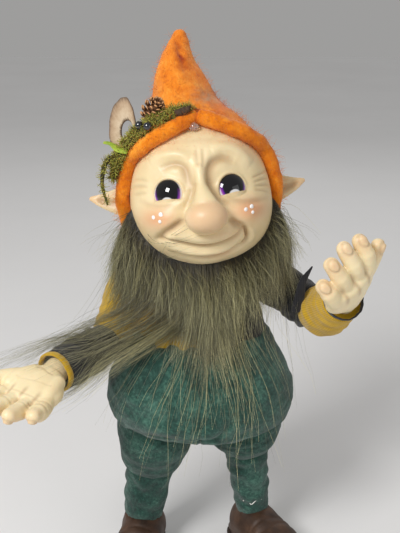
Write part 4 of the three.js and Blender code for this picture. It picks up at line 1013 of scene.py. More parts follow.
def sliceFinish():
    tree, coat = newMaterial("driedFungus", {"Roughness": 0.85})
    flat, _, v = clothPlace(tree)
    stretch = output(tree, "ShaderNodeMapping", {"Vector": flat, "Scale": (46.0, 1.2, 1.0)})
    rays = output(tree, "ShaderNodeTexNoise", {"Vector": stretch, "Scale": 1.0, "Detail": 2.0}, "Fac")
    colour = ramp(v + (rays - 0.5) * 0.3, [(0.02, 110, 88, 68), (0.14, 202, 182, 154), (0.5, 190, 167, 138),
                                           (0.8, 168, 142, 114), (0.97, 116, 96, 78)])
    spots = ramp(grain(tree, 260, 4, 0.7), [(0.45, 1, 1, 1, 1), (0.75, 0.76, 0.7, 0.64, 1)])
    return coat(mixed(1.0, colour, spots, "MULTIPLY"), rays, 0.5, 0.4)


def buildSlice():
    d, a = dressing, around(120)
    wobble = 1 + 0.02 * np.sin(5 * a + 1) + 0.012 * np.sin(11 * a)
    circle = np.stack([np.cos(a), np.sin(a)], 1)
    outer, inner = circle * d["sliceHalf"] * wobble[:, None], circle * d["holeHalf"] + d["holeAt"]
    rings, uv = [], []
    for b in around(16):
        share = 0.5 - 0.5 * math.cos(b)
        deep = d["sliceThick"] * 0.5 * math.copysign(abs(math.sin(b)) ** 0.5, math.sin(b)) * (1.15 - 0.55 * share)
        rings.append(np.column_stack([inner + (outer - inner) * share, deep + 0.5 * np.sin(2 * a) * share]))
        uv.append(np.column_stack([a / fullTurn, 0 * a + share]))
    points, faces = ringed(np.stack(rings))
    piece = newPiece("fungus_slice", onHat(points, "slice"), faces)
    wrap(piece, np.vstack(uv))
    mount(piece, "head", "dried_fungus", sliceFinish(), "fungus_ring")


def buildSmallDressing():
    bead = plainFinish("darkGlassBead", [(0.3, 12, 16, 22), (0.7, 34, 40, 50)], 400, 0.08, **{"Coat Weight": 1.0})
    for k, at in enumerate(dressing["beads"]):
        ball = headPiece(f"glass_bead_{k + 1}", *ballPoints(onHead(*at), [dressing["beadRadius"]] * 3, 32, 24))
        mount(ball, "head", "dark_bead", bead, f"hat_bead_{k + 1}")
    bark = plainFinish("twigBark", [(0.3, 34, 22, 14), (0.7, 86, 62, 40)], 500, 0.8, 1100, 0.4)
    twig = headLoft("bark_twig", "twig", 20, 40, domes=(0.5, 0.5))
    swollen(twig, 0.25 * lumps(pointsOf(twig), 2, 31))
    mount(twig, "head", "twig_wood", bark, "twig")
    green = leafFinish("grassGreen", [(0.35, 112, 138, 30), (0.65, 170, 188, 58)], 120)
    mount(headLoft("grass_leaf", "blade", 20, 48, domes=(0.8, 0.8)), "head", "grass", green, "grass_blade")
    tree, coat = newMaterial("clearGlue", {"Roughness": 0.06, "IOR": 1.46, "Transmission Weight": 0.85,
                                           "Coat Weight": 0.5})
    glue = coat(ramp(grain(tree, 500, 3), [(0.3, 250, 238, 228), (0.7, 244, 220, 204)]))
    points, faces = ballPoints(onHead(*dressing["dropSpot"]), dressing["dropHalf"], 32, 24)
    points = points + vec(0.25, 0, 0.3) * lumps(points, 2.5, 8)[:, None]
    mount(headPiece("clear_drop", points, faces), "head", "glue", glue, "glue_drop")


buildMoss()
buildCone()
buildSlice()
buildSmallDressing()
print("stage: dressing")


# Body and limbs: places and sizes

body = {
    "z": [81, 83, 87.5, 96, 107, 118, 133, 145.9, 156.94, 164.5],
    "wide": [24, 37.4, 45.1, 48, 46.6, 41.3, 33, 29, 23.8, 10.5],
    "deep": [17.1, 28.9, 35.3, 38, 36.9, 32.7, 25, 20, 16, 10.5],
    "forward": [3, 5, 5, 5, 5, 4, 1.5, 0, -1.8, -3],
    "crotch": 81, "waist": 133, "collar": 164.5,
}
sideNames = ["right", "left"]  # the doll's own right lies at negative x; i is 0 there and 1 on its left
hips = [vec(-22.5, 0, 80), vec(22.5, 0, 80)]
ankles = [vec(-31, -6, 24), vec(29, -1, 24)]
shoulders = [vec(-33.5, 3, 156.94), vec(33.5, 3, 156.94)]
upperWays = [unit(vec(-10.5, -9, -32)), unit(vec(23.5, 1, -17.5))]
forearmWays = [unit(vec(-20, -31, -0.5)), unit(vec(6.5, -36, 21))]
elbows = [shoulders[i] + 32 * upperWays[i] for i in (0, 1)]
wrists = [elbows[i] + 40 * forearmWays[i] for i in (0, 1)]


def sided(i, name):
    return f"{sideNames[i]}_{name}"


def bodyAt(z):
    return tuple(np.interp(z, body["z"], body[key]) for key in ("wide", "deep", "forward"))


def bodyForm(low, high, grown, rows=70, sides=120):
    turn, rings = around(sides), []
    for z in np.linspace(low, high, rows):
        wide, deep, forward = bodyAt(z)
        rings.append(np.stack([(wide + grown) * np.cos(turn), (deep + grown) * np.sin(turn) - forward,
                               0 * turn + z], 1))
    return stacked(rings[0].mean(0), rings, rings[-1].mean(0))


# Cloth swells a little over its stuffing: a short pressure run, with its movement capped.
puff = {"pressure": 4.0, "frames": 20, "cap": 1.4, "voxel": 2.0}


def puffed(obj, cap):
    before = pointsOf(obj)
    cloth = obj.modifiers.new("stuffing", "CLOTH")
    cloth.settings.quality = 3
    cloth.settings.mass = 0.02
    cloth.settings.tension_stiffness = cloth.settings.compression_stiffness = 12
    cloth.settings.bending_stiffness = 0.4
    cloth.settings.use_pressure = True
    cloth.settings.uniform_pressure_force = puff["pressure"]
    cloth.settings.effector_weights.gravity = 0
    cloth.point_cache.frame_start, cloth.point_cache.frame_end = 1, puff["frames"]
    for frameNumber in range(1, puff["frames"] + 1):
        bpy.context.scene.frame_set(frameNumber)
    bake(obj)
    bpy.context.scene.frame_set(1)
    move = pointsOf(obj) - before
    size = np.linalg.norm(move, axis=1, keepdims=True)
    setPoints(obj, before + move * np.minimum(1, cap / np.maximum(size, 1e-6)))
    return obj


def finer(obj):
    more = obj.modifiers.new("finer", "SUBSURF")
    more.levels = more.render_levels = 1
    return bake(obj)


sleeveRadius, chestRadius = 11, 30  # on these the knit's stitches are laid out


def limbMap(points, root, tip):  # round a sleeve, then along it
    way = unit(tip - root)
    flat = unit(np.cross(way, vec(0.3, 1, 0.2)))
    local = points - root
    return np.stack([np.arctan2(local @ np.cross(way, flat), local @ flat) * sleeveRadius, local @ way], 1)


# Trousers. The belly hangs over the legs in front: a fold seen from the front, as (x, z).

trousers = {"ball": 20.5, "hem": [17.3, 16.3], "cuffTop": [12.8, 11.8], "ankle": [10.0, 8.5],
            "thighShare": [0.6627, 0.8288], "cuffShare": [0.446, 0.625], "wrinkle": 0.55,
            "bellyFold": [(-37, 86), (-20.5, 89), (-7.3, 87), (6.8, 90.5), (16.8, 102)]}


def thighForm(i):
    low = ankles[i] + (hips[i] - ankles[i]) * trousers["thighShare"][i]
    middle = hips[i] + (low - hips[i]) * 0.6 + vec(0, -1.5, 0)
    return lofted("thigh", [hips[i], middle, low], rounds(trousers["ball"], trousers["ball"], trousers["hem"][i]),
                  64, 40)


def wholeTrousers():  # both legs in one skin, so the halves meet in one seam
    belly = newPiece("belly", *bodyForm(body["crotch"], body["waist"] + 0.4, 0.5))
    whole = melted(joined("trousers", [belly, thighForm(0), thighForm(1)]), puff["voxel"] * 0.7, 3)
    whole = finer(puffed(whole, puff["cap"]))
    p = pointsOf(whole)
    x, y, z = p.T
    folds = lumps(p * vec(1, 1, 1.6), 17, 41) * 0.5 + lumps(p * vec(1, 1, 2.2), 8, 43) * 0.3
    pull = bell(z - 62, 7) * np.sin(np.arctan2(x - np.where(x > 0, hips[1][0], hips[0][0]), -y) * 7 + 0.7 * (x > 0))
    d, t = alongLine(x, z, trousers["bellyFold"])
    above = z > np.interp(x, *np.transpose(trousers["bellyFold"]))
    front = smoothstep(-y, 4, 16) * np.sqrt(np.clip(4 * t * (1 - t), 0, 1))
    free = smoothstep(z, 44, 50) * smoothstep(np.abs(x), 0, 2.5)
    fold = -1.9 * bell(d, 2.2) + 1.3 * bell(d - 6, 4.5) * above
    swollen(whole, trousers["wrinkle"] * (folds + 0.5 * pull) * free + fold * front - 0.7 * bell(x, 0.9))
    return whole


def sideOf(whole, side, name):  # what lies on one side of the middle, closed along the cut
    mesh = bmesh.new()
    mesh.from_mesh(whole.data)
    cut = bmesh.ops.bisect_plane(mesh, geom=mesh.verts[:] + mesh.edges[:] + mesh.faces[:],
                                 plane_co=(figureShift[0] * mm, 0, 0), plane_no=(side, 0, 0), clear_inner=True)
    bmesh.ops.triangle_fill(mesh, edges=[e for e in cut["geom_cut"] if isinstance(e, bmesh.types.BMEdge)],
                            use_beauty=True)
    bmesh.ops.recalc_face_normals(mesh, faces=mesh.faces[:])
    data = bpy.data.meshes.new(name)
    mesh.to_mesh(data)
    mesh.free()
    data.shade_smooth()
    return link(name, data)


def buildTrousers(whole, i):
    x = hips[i][0]
    half = sideOf(whole, (-1, 1)[i], sided(i, "trousers"))
    nodes = [sided(i, "trouser_leg")] + (["trouser_seat"] if i == 0 else [])
    return mount(half, ("torso", sided(i, "leg"), vec(x, 0, 81), vec(x, 0, 63)), "green_fleece", fleeceGreen,
                 *nodes)


def buildTrouserCuff(i):
    top = ankles[i] + (hips[i] - ankles[i]) * trousers["cuffShare"][i]
    bottom = ankles[i] - vec(0, 0, 1)
    small, large = trousers["ankle"][i], trousers["cuffTop"][i]
    line = [bottom, bottom + (top - bottom) * 0.25, bottom + (top - bottom) * 0.6, top]
    cuff = lofted(sided(i, "ankle_cuff"), line, rounds(small + 0.4, small + 1.6, small * 0.35 + large * 0.65,
                                                             large), 96, 70, domes=(0.15, 0.5))
    p = pointsOf(cuff)
    turn, up = np.arctan2(p[:, 0] - ankles[i][0], ankles[i][1] - p[:, 1]), p[:, 2] - bottom[2]
    ruck = np.sin((p[:, 2] + 2.2 * np.sin(turn * 2 + i)) * fullTurn / 11) * 0.35 + 0.3 * lumps(p, 7, 51 + i)
    ragged = bell(up, 1.5) * (0.5 * np.sin(turn * 9 + i) + 0.4 * np.sin(turn * 23))
    setPoints(cuff, swollen(cuff, ruck * smoothstep(up, 1, 6)) + vec(0, 0, 1) * ragged[:, None])
    return mount(cuff, sided(i, "leg"), "green_fleece", fleeceGreen, sided(i, "trouser_cuff"))


seat = wholeTrousers()
for i in (0, 1):
    half, cuff = buildTrousers(seat, i), buildTrouserCuff(i)
    print("stage: trousers", sideNames[i], len(half.data.polygons), len(cuff.data.polygons))
bpy.data.objects.remove(seat)


# Shirt: two knitted halves joined down the middle, and a sleeve on each arm

shirt = {"upper": (11.0, 11.6, 11.2, 11.5), "elbow": 9.4, "swell": [0.6, 3.4], "wrist": 9.8, "ruck": 0.7,
         "trimWide": 3.4, "trimProud": [0.8, 0.4],
         "point": [(47, -10, 144), (48.5, -11, 152), (50, -9, 159), (54.5, -6, 165.5)],
         "pointSizes": [(2.4, 0.9), (2.4, 0.9), (1.7, 0.8), (0.4, 0.4)],
         "colours": [knitYellow, knitBlack], "slots": ["yellow_knit", "black_knit"]}


def buildShirt(i):
    def kept(points):  # on its own side of the middle
        points[:, 0] = np.maximum(points[:, 0], 0) if i else np.minimum(points[:, 0], 0)
        return points

    points, faces = bodyForm(body["waist"] - 3, body["collar"] + 1.5, 0)
    half = melted(newPiece(sided(i, "shirt"), kept(points), faces), 1.0, 2)
    p = pointsOf(half)
    seam = smoothstep(np.abs(p[:, 0]), 0.2, 2.0)
    p = setPoints(half, kept(swollen(half, 0.35 * lumps(p * vec(1, 1, 1.5), 10, 61) * seam)))
    wrap(half, np.stack([np.arctan2(p[:, 0], -p[:, 1]) * chestRadius, p[:, 2]], 1))
    mount(half, "torso", shirt["slots"][i], shirt["colours"][i], f"shirt_{sideNames[i]}_half")


def buildUpperSleeve(i):
    root, way = shoulders[i], upperWays[i]
    tip = elbows[i] - way * 2.5
    line = [root - way * 2 + vec((1, -1)[i] * 4, 0, 0), root + way * 8, root + way * 20, tip]
    sleeve = lofted(sided(i, "sleeve"), line, rounds(*shirt["upper"]), 72, 64, domes=(1, 0.12))
    p = pointsOf(sleeve)
    run = (p - root) @ way
    ruck = 0.4 * lumps(p * vec(1, 1, 1.6), 9, 71 + i) + 0.3 * np.sin(run * 1.1 + 2 * np.sin(p[:, 0] * 0.3))
    wrap(sleeve, limbMap(swollen(sleeve, shirt["ruck"] * ruck * smoothstep(run, 0, 8)), root, tip))
    mount(sleeve, ("torso", sided(i, "upper_arm"), root - way * 6, root + way * 7), shirt["slots"][i],
          shirt["colours"][i], sided(i, "upper_sleeve"))


def buildForearm(i):
    root, way, swell = elbows[i], forearmWays[i], shirt["swell"][i]
    end = wrists[i] + way
    line = [root, root + (end - root) * 0.55 + vec(0, 0, -swell * 0.6), end - way * 4, end]
    sizes = rounds(shirt["elbow"], shirt["elbow"] + swell, shirt["wrist"] + 0.8, shirt["wrist"])
    sleeve = lofted(sided(i, "forearm_cloth"), line, sizes, 80, 70, domes=(1, 0.1))
    p = pointsOf(sleeve)
    run = (p - root) @ way
    ruck = 0.45 * lumps(p, 10, 81 + i) + 0.25 * lumps(p, 5, 83 + i)
    ruck += 0.25 * np.sin(run * 0.9 + 2.5 * np.sin(p[:, 2] * 0.25))
    free = smoothstep(run, 4, 12) * (1 - smoothstep(run, 36, 40))
    wrap(sleeve, limbMap(swollen(sleeve, shirt["ruck"] * ruck * free), root, end))
    mount(sleeve, sided(i, "forearm"), shirt["slots"][1 - i], shirt["colours"][1 - i],
          sided(i, "forearm_sleeve"))


# The cut edge of each sleeve rolls outwards round the wrist.
def buildWristTrim(i):
    way, wide, proud = forearmWays[i], shirt["trimWide"] / 2, shirt["trimProud"][i]
    flat = unit(np.cross(way, vec(0, 0.2, 1)))
    a = around(120)[:, None]
    spoke = np.cos(a) * flat + np.sin(a) * np.cross(flat, way)
    wave = 0.5 * np.sin(a * 3 + i) + 0.3 * np.sin(a * 7 + 1) + 0.2 * np.sin(a * 17)
    middle, radius = wrists[i] + way * (1.2 + wide), shirt["wrist"] - 0.7 + 0.3 * wave
    points, faces = ringed(np.stack([middle + spoke * (radius + proud * math.cos(b))
                                     + way * (wide * math.sin(b) + 0.5 * wave) for b in around(16)]))
    trim = newPiece(sided(i, "wrist_trim"), points, faces)
    wrap(trim, limbMap(points, elbows[i], wrists[i]))
    mount(trim, sided(i, "forearm"), shirt["slots"][i], shirt["colours"][i], sided(i, "cuff"))


def buildSleevePoint():
    point = lofted("left_sleeve_point", shirt["point"], shirt["pointSizes"], 28, 40)
    wrap(point, pointsOf(point)[:, [0, 2]])
    mount(point, "left_upper_arm", "black_knit", knitBlack)


def buildHemThread():
    stitches = [(23.5, -9.2, 31.5), (24.6, -9.9, 34.2), (27.4, -10.2, 30.2), (28.6, -10.3, 30.6), (31.8, -9.9, 34.0),
                (33.4, -9.0, 32.4)]
    mount(lofted("left_hem_thread", stitches, rounds(0.28), 8, 60), "left_leg", "stuffing", stuffingWhite)


buildSleevePoint()
buildHemThread()
for i in (0, 1):
    buildShirt(i)
    buildUpperSleeve(i)
    buildForearm(i)
    buildWristTrim(i)
print("stage: shirt and sleeves")


# Hands, each in its own frame: x to the fingertips, z out of the back of the hand

hands = {
    "long": 44.0, "palmHalf": 13.5, "palmThick": 6.2, "finger": 3.9, "wrist": 6.2, "voxel": 0.5,
    "along": [vec(-0.44, -0.86, -0.18), vec(-0.02, -0.78, 0.62)],
    "palm": [vec(0.02, -0.2, 0.97), vec(-0.676, 0.55, 0.477)],
    "curl": [24, 48], "thumb": [-1, 1], "reach": [0.82, 0.96, 1.0, 0.93], "fan": 12, "palmShare": 0.52,
    "nailHalf": (2.6, 2.1),
}


def handForms(i):  # lofts of the palm and fingers, the nails, and the creases at the joints
    h, side, sideways = hands, hands["thumb"][i], vec(0, 1, 0)
    long, r, wide, thick = h["long"], h["finger"], h["palmHalf"], h["palmThick"]
    palmEnd = long * hands["palmShare"]
    bits = [
        loft([(-4, 0, 0), (long * 0.16, 0, 0)], [(h["wrist"], h["wrist"] * 0.95)], 32, 16, sideways, (0.3, 0)),
        loft([(long * 0.08, 0, 0), (palmEnd * 0.55, 0, 0.4), (palmEnd, 0, 0.9)],
             [(wide * 0.6, thick), (wide, thick), (wide * 0.94, thick * 0.8)], 48, 24, sideways, (0.5, 0.7)),
        loft([(long * 0.14, side * 6, 2), (long * 0.3, side * 9.5, 3.4), (long * 0.4, side * 11, 3)],
             [(4.6, 4.2), (4.4, 4.0), (3.6, 3.4)], 28, 16, sideways),
        loft([(long * 0.16, -side * 7, 2), (long * 0.34, -side * 8.4, 2.6), (long * 0.44, -side * 8.6, 2)],
             [(3.6, 3.4), (3.9, 3.6), (3.2, 3.0)], 28, 16, sideways),
    ]
    nails, joints = [], []
    for spread, share in zip(np.linspace(-1, 1, 4), h["reach"]):
        knuckle = vec(palmEnd * 0.9, side * spread * (wide - r * 0.9), 1)
        length = long * share - palmEnd * 0.9 - r
        fan, curl = side * spread * math.radians(h["fan"]), math.radians(h["curl"][i])

        def way(angle):
            return vec(math.cos(angle) * math.cos(fan), math.cos(angle) * math.sin(fan), math.sin(angle))

        middle = knuckle + way(curl * 0.5) * length * 0.5
        tip = middle + way(curl) * length * 0.5
        bits.append(loft([knuckle - way(0) * 5, knuckle, middle, tip],
                         [(r * 0.95, r), (r, r), (r * 0.97, r), (r * 0.86, r * 0.84)], 32, 30, sideways, (0.6, 1)))
        bits.append(loft([middle - way(curl * 0.75) * 1.2, middle + way(curl * 0.75) * 1.2],
                         [(r * 1.03, r * 1.06)], 24, 6, sideways))
        back = -way(curl + math.pi / 2)
        nails.append((tip + back * r * 0.62 + way(curl) * 0.3, way(curl), back))
        joints += [(middle, way(curl * 0.75)), (knuckle + way(0) * 1.5, way(0))]
    thumb = [vec(long * 0.2, side * wide * 0.55, 1), vec(long * 0.38, side * wide * 1.25, 3),
             vec(long * 0.56, side * wide * 1.5, 4.5)]
    bits.append(loft(thumb, [(r * 1.3, r * 1.25), (r * 1.08, r * 1.03), (r * 0.84, r * 0.8)], 32, 30, sideways,
                     (0.6, 1)))
    nails.append((thumb[2] + vec(0, side * 0.4, -r * 0.55), unit(thumb[2] - thumb[1]), unit(vec(0, side * 0.5, -1))))
    return bits, nails, joints


def buildHand(i):
    r, long, side = hands["finger"], hands["long"], hands["thumb"][i]
    x = unit(hands["along"][i])
    y = unit(np.cross(hands["palm"][i], x))
    basis, origin = np.stack([x, y, np.cross(x, y)]), wrists[i] + forearmWays[i] * 4
    bits, nails, joints = handForms(i)
    pieces = [newPiece("bit", origin + points @ basis, faces) for points, faces in bits]
    clay = melted(joined(f"clay_{sideNames[i]}_hand", pieces), hands["voxel"], 3)
    local, facing = (pointsOf(clay) - origin) @ basis.T, normalsOf(clay) @ basis.T
    rise = 0.12 * lumps(local, 9, 91 + i)
    hollow = np.zeros(len(local))
    for at, way, back in nails:
        d = local - at
        oval = np.hypot(d @ way / hands["nailHalf"][0], d @ np.cross(way, back) / hands["nailHalf"][1])
        near = (d @ back > -2) & (facing @ back > 0.1)
        rise += near * (0.45 * smoothstep(1.05 - oval, 0, 0.35) - 0.2 * bell(oval - 1.12, 0.2))
        hollow = np.maximum(hollow, near * 0.22 * bell(oval - 1.12, 0.22))
    for at, way in joints:
        d = local - at
        along = d @ way
        near = (np.linalg.norm(d - along[:, None] * way, axis=1) < r + 2.2) & (facing[:, 2] > 0.1)
        rise -= near * 0.25 * bell(along, 0.5)
        hollow = np.maximum(hollow, near * 0.14 * bell(along, 0.6))
    x, y, _ = local.T
    palmEnd = long * hands["palmShare"]
    crack = bell(x - (long * 0.14 + 0.8 * np.sin(y * 0.5)), 0.35) * (facing[:, 2] > 0) * (np.abs(y) < 5) * (i == 0)
    lines = bell(x - palmEnd * 0.62 - 0.12 * y * side, 0.5) * (facing[:, 2] > 0.3) * (np.abs(y) < 9)
    rise -= 0.15 * lines + 0.2 * crack
    web = smoothstep(x, palmEnd * 0.75, palmEnd * 0.95) * (1 - smoothstep(x, palmEnd * 1.15, palmEnd * 1.5))
    pits = [bell(y - side * k / 1.5 * (hands["palmHalf"] - r * 0.9), 0.9) for k in (-1, 0, 1)]
    hollow = np.maximum.reduce([hollow, 0.45 * web * np.maximum.reduce(pits), 0.5 * crack, 0.1 * lines])
    # painted shade: the hollow mask darkens the creases, the nail outlines, the crack and the webs between the fingers
    paint(clay, "hollow", np.clip(hollow, 0, 0.7))
    tips = [bell(np.linalg.norm(local - at, axis=1), 4.5) for at, _, _ in nails]
    paint(clay, "blush", 0.5 * np.maximum.reduce(tips))
    swollen(clay, rise)
    return mount(clay, sided(i, "hand"), "hand_clay", handClay, sided(i, "hand"))


for i in (0, 1):
    print("stage: hand", sideNames[i], len(buildHand(i).data.polygons))


# Shoes, each in its own frame: the toe at negative y, the ankle at the origin

shoes = {"toe": -43.0, "half": 14.5, "rise": 19.5, "sole": 3.0, "heel": 13.0, "turn": [-6, 30], "voxel": 0.8,
         "ankle": [10.0, 8.5], "wall": 0.94}


def shoeTurn(i):
    a = math.radians(shoes["turn"][i])
    return np.array([[math.cos(a), -math.sin(a), 0], [math.sin(a), math.cos(a), 0], [0, 0, 1]])


def onShoe(points, i):
    return np.asarray(points, float) @ shoeTurn(i).T + ankles[i] * vec(1, 1, 0)


def soleOutline(count):
    half, toe, heel = shoes["half"], shoes["toe"], shoes["heel"] + 1
    knots = [(0, heel), (half * 0.62, heel - 2.5), (half * 0.83, 1), (half * 0.86, toe * 0.25), (half, toe * 0.55),
             (half * 0.86, toe * 0.85), (half * 0.42, toe * 0.985), (0, toe - 1)]
    right = smoothLine(knots, count // 2 + 1)
    return np.vstack([right, (right * [-1, 1])[-2:0:-1]])


# The shoe's wall comes down nearly straight to the sole's edge: how far each point moves on the floor.
def walled(local, outline, middle):
    centre = [0, shoes["toe"] * 0.28]
    off, rim = local[:, :2] - centre, outline - centre
    angle, far = np.arctan2(off[:, 1], off[:, 0]), np.hypot(off[:, 0], off[:, 1])
    edge = np.interp(angle, np.arctan2(rim[:, 1], rim[:, 0]), np.hypot(rim[:, 0], rim[:, 1]), period=fullTurn)
    slices = np.linspace(-math.pi, math.pi, 61)
    low = local[:, 2] < shoes["sole"] + 0.5
    reached = [far[low & (angle >= a) & (angle < b)].max() for a, b in zip(slices[:-1], slices[1:])]
    own = np.interp(angle, (slices[:-1] + slices[1:]) / 2, reached, period=fullTurn)
    down = np.clip((middle - local[:, 2]) / (middle - shoes["sole"] - 0.1), 0, 1) ** 2.5
    return np.column_stack([off * ((shoes["wall"] * edge / own - 1) * down)[:, None], 0 * down])


def buildShoe(i):
    half, toe, high, sole, heel = (shoes[key] for key in ("half", "toe", "rise", "sole", "heel"))
    middle, ankle = sole + high * 0.42, shoes["ankle"][i]
    foot = loft([(0, heel - half * 0.7, middle + 1), (0, 0, middle + 2), (0, toe * 0.45, middle),
                 (0, toe + half * 0.75, middle - 1)],
                [(half * 0.78, high * 0.58), (half * 0.84, high * 0.64), (half, high * 0.56),
                 (half * 0.86, high * 0.42)], 56, 40, domes=(0.8, 0.8))
    throat = loft([(0, 0, middle), (0, 0, ankles[i][2] - 1.5)], rounds(ankle + 2.5, ankle + 0.2), 48, 14,
                  domes=(0, 0.1))
    bits = [newPiece("bit", onShoe(points, i), faces) for points, faces in (foot, throat)]
    upper = melted(joined(sided(i, "shoe_upper"), bits), shoes["voxel"], 5)
    p, n = pointsOf(upper), normalsOf(upper)
    p = p + n * (0.3 * lumps(p, 12, 101 + i))[:, None]
    local = (p - ankles[i] * vec(1, 1, 0)) @ shoeTurn(i)
    crease = bell(local[:, 1] - toe * 0.34 + 0.05 * local[:, 0], 0.9) + bell(local[:, 1] - toe * 0.45, 0.9)
    p = p - n * (0.45 * crease * smoothstep(local[:, 2], 9, 13))[:, None]
    p[:, 2] = np.maximum(p[:, 2], sole + 0.1)
    outline = soleOutline(120)
    local[:, 2] = p[:, 2]
    setPoints(upper, p + walled(local, outline, middle) @ shoeTurn(i).T)
    mount(upper, sided(i, "leg"), "shoe_brown", shoeBrown, sided(i, "shoe"))
    levels = [(0.0, 0.93), (0.35, 0.985), (sole * 0.5, 1.0), (sole - 0.3, 0.99), (sole, 0.95)]
    rings = [onShoe(np.column_stack([outline * share, np.full(120, z)]), i) for z, share in levels]
    under = newPiece(sided(i, "shoe_sole"),
                     *stacked(onShoe([(0, -12, 0)], i), rings, onShoe([(0, -12, sole)], i)))
    mount(under, sided(i, "leg"), "sole_brown", soleBrown, sided(i, "sole"))


buildShoe(0)
buildShoe(1)
print("stage: shoes")


# The carried-over core: stuffing, wires and the neck dowel

coreFinishes = {"body_padding": stuffingWhite, "neck_dowel": dowelWood}
for name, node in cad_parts.items():
    finish = wireSteel if "wire" in name else coreFinishes.get(name)
    if finish:
        node.data.materials.clear()
        node.data.materials.append(finish)


# Beard: combed strands that start along the jaw, fall over the chest and thin out to points

beard = {
    "clumps": 460, "strands": 18000, "frizz": 1500, "across": 14, "segments": 8, "step": 2.3, "reach": 46,
    "thick": 0.085, "seed": 12, "widest": 98, "longest": 0.003, "long": 0.011, "clumpLength": (0.29, 0.06),
    "sweep": [-1.5, -0.45, 0.25], "sweptLength": 0.85, "gather": 0.82, "loose": [6.0, 3.0, 2.0],
    "wave": [0.8, 0.6, 0.2], "straighter": 0.4, "astray": [9, 5, 3], "astrayShare": 0.05, "upper": 166, "lower": 78,
    "rootTurns": [0, 20, 40, 54, 66, 74, 80, 88, 98], "rootLifts": [-70, -69, -66, -60, -44, -16, -5, -12, -30],
}


def pushed(p, room):  # hair stays outside the head, the body and the arms
    q = toHead(p)
    inside = np.linalg.norm(q / headSize(q[:, 2], room), axis=1)
    p = fromHead(np.where(inside[:, None] < 1, q / np.maximum(inside, 0.05)[:, None], q))
    wide, deep, forward = bodyAt(p[:, 2])
    flat = np.hypot(p[:, 0] / (wide + room + 0.8), (p[:, 1] + forward) / (deep + room + 0.8))
    hit = (flat < 1) & (p[:, 2] < beard["upper"]) & (p[:, 2] > beard["lower"])
    out = np.where(hit, 1 / np.maximum(flat, 0.05), 1)
    p = np.stack([p[:, 0] * out, (p[:, 1] + forward) * out - forward, p[:, 2]], 1)
    for i in (0, 1):
        for a, b, thick in ((shoulders[i], elbows[i], 12.0), (elbows[i], wrists[i], 10.5 + shirt["swell"][i])):
            t = np.clip((p - a) @ (b - a) / ((b - a) @ (b - a)), 0, 1)
            off = p - a - t[:, None] * (b - a)
            d = np.linalg.norm(off, axis=1)
            lifted = p + off / np.maximum(d, 0.3)[:, None] * (thick + room - d)[:, None]
            p = np.where((d < thick + room)[:, None], lifted, p)
    return p


def keptOut(path, room=0.7):  # all of each hair but its root
    path[:, 1:] = pushed(path[:, 1:].reshape(-1, 3), room).reshape(len(path), -1, 3)
    return path


def combed(roots, starts, drift, dice):
    p, d = roots.copy(), unit(starts)
    path = [p.copy()]
    wobble = dice.normal(size=(len(p), 3)) * [0.06, 0.05, 0.03]
    for k in range(beard["reach"]):
        d = unit(d + 0.2 * (vec(0, 0, -1) + drift * min(1, k / 12) ** 1.5) + wobble * math.sin(k * 0.5))
        p = pushed(p + d * beard["step"], 1.2 + 1.5 * (k < 14))
        path.append(p.copy())
    return np.stack(path, 1)


def rootPlaces(where, row):  # where is -1 to 1 from ear to ear
    turn = np.abs(where) * beard["widest"]
    lift = np.interp(turn, beard["rootTurns"], beard["rootLifts"]) - row * 16
    return fromHead(onHead(np.sign(where) * turn, np.maximum(lift, -86), 0.4))


def frizz(dice):  # short curled hairs that stand off the rest, most of them by the ears
    count, few = beard["frizz"], beard["across"]
    where = np.sign(dice.uniform(-1, 1, count)) * dice.uniform(0, 1, count) ** 0.6
    roots = rootPlaces(where, dice.uniform(0, 0.7, count))
    out = unit(roots - head["middle"])
    way = unit(out + vec(0, -0.3, -0.9) + dice.normal(0, 0.45, (count, 3)))
    side = unit(np.cross(way, out + vec(0.1, 0.2, 0.3)))
    long = dice.uniform(8, 26, (count, 1, 1))
    t = np.linspace(0, 1, beard["segments"] + 1)[None, :, None]
    turn = dice.uniform(0, 6.3, (count, 1, 1)) + t * dice.uniform(2, 8, (count, 1, 1))
    curl = dice.uniform(0.6, 3.0, (count, 1, 1)) * smoothstep(t, 0, 0.5)
    path = roots[:, None] + way[:, None] * long * t + vec(0, 0, -7) * t**2
    path = path + curl * (np.cos(turn) * side[:, None] + np.sin(turn) * np.cross(side, way)[:, None])
    path = keptOut(path)
    # a few stray hairs lie across the mouth
    start = np.stack([dice.uniform(-72, -30, few), dice.uniform(-52, -24, few)], 1)
    reach = np.stack([dice.uniform(14, 48, few), dice.uniform(-16, 18, few)], 1)
    on, t = start[:, None] + reach[:, None] * t, t[..., 0]
    strays = fromHead(onHead(on[..., 0], on[..., 1], 1.2 + 8 * t * (1 - t)))
    return np.concatenate([path, strays]), np.concatenate([where, start[:, 0] / beard["widest"]])


def combClumps(dice):  # a guide line for each clump of hair
    count = beard["clumps"]
    where = (np.arange(count) + dice.uniform(0, 1, count)) / count * 2 - 1
    row = dice.uniform(0, 1, count) ** 1.2
    roots = rootPlaces(where, row)
    side = np.abs(where)
    starts = unit(roots - head["middle"]) * 0.8
    starts = starts + vec(0, -0.5, -0.5) * (1 - side)[:, None] + vec(0, 0, -0.9) * side[:, None]
    drift = np.stack([np.where(where < 0, -0.5 * side, 0.02 * side), -0.06 + 0 * side, 0 * side], 1)
    swept = (np.abs(where + 0.52) < 0.18) & (dice.uniform(size=count) < 0.14)
    drift[swept] += beard["sweep"]
    drift += dice.normal(size=drift.shape) * [0.18, 0.07, 0]
    guides = combed(roots, starts, drift, dice)
    length = np.clip(np.where(swept, beard["sweptLength"], dice.normal(*beard["clumpLength"], count)), 0.16, 1.0)
    return where, row, roots, guides, length


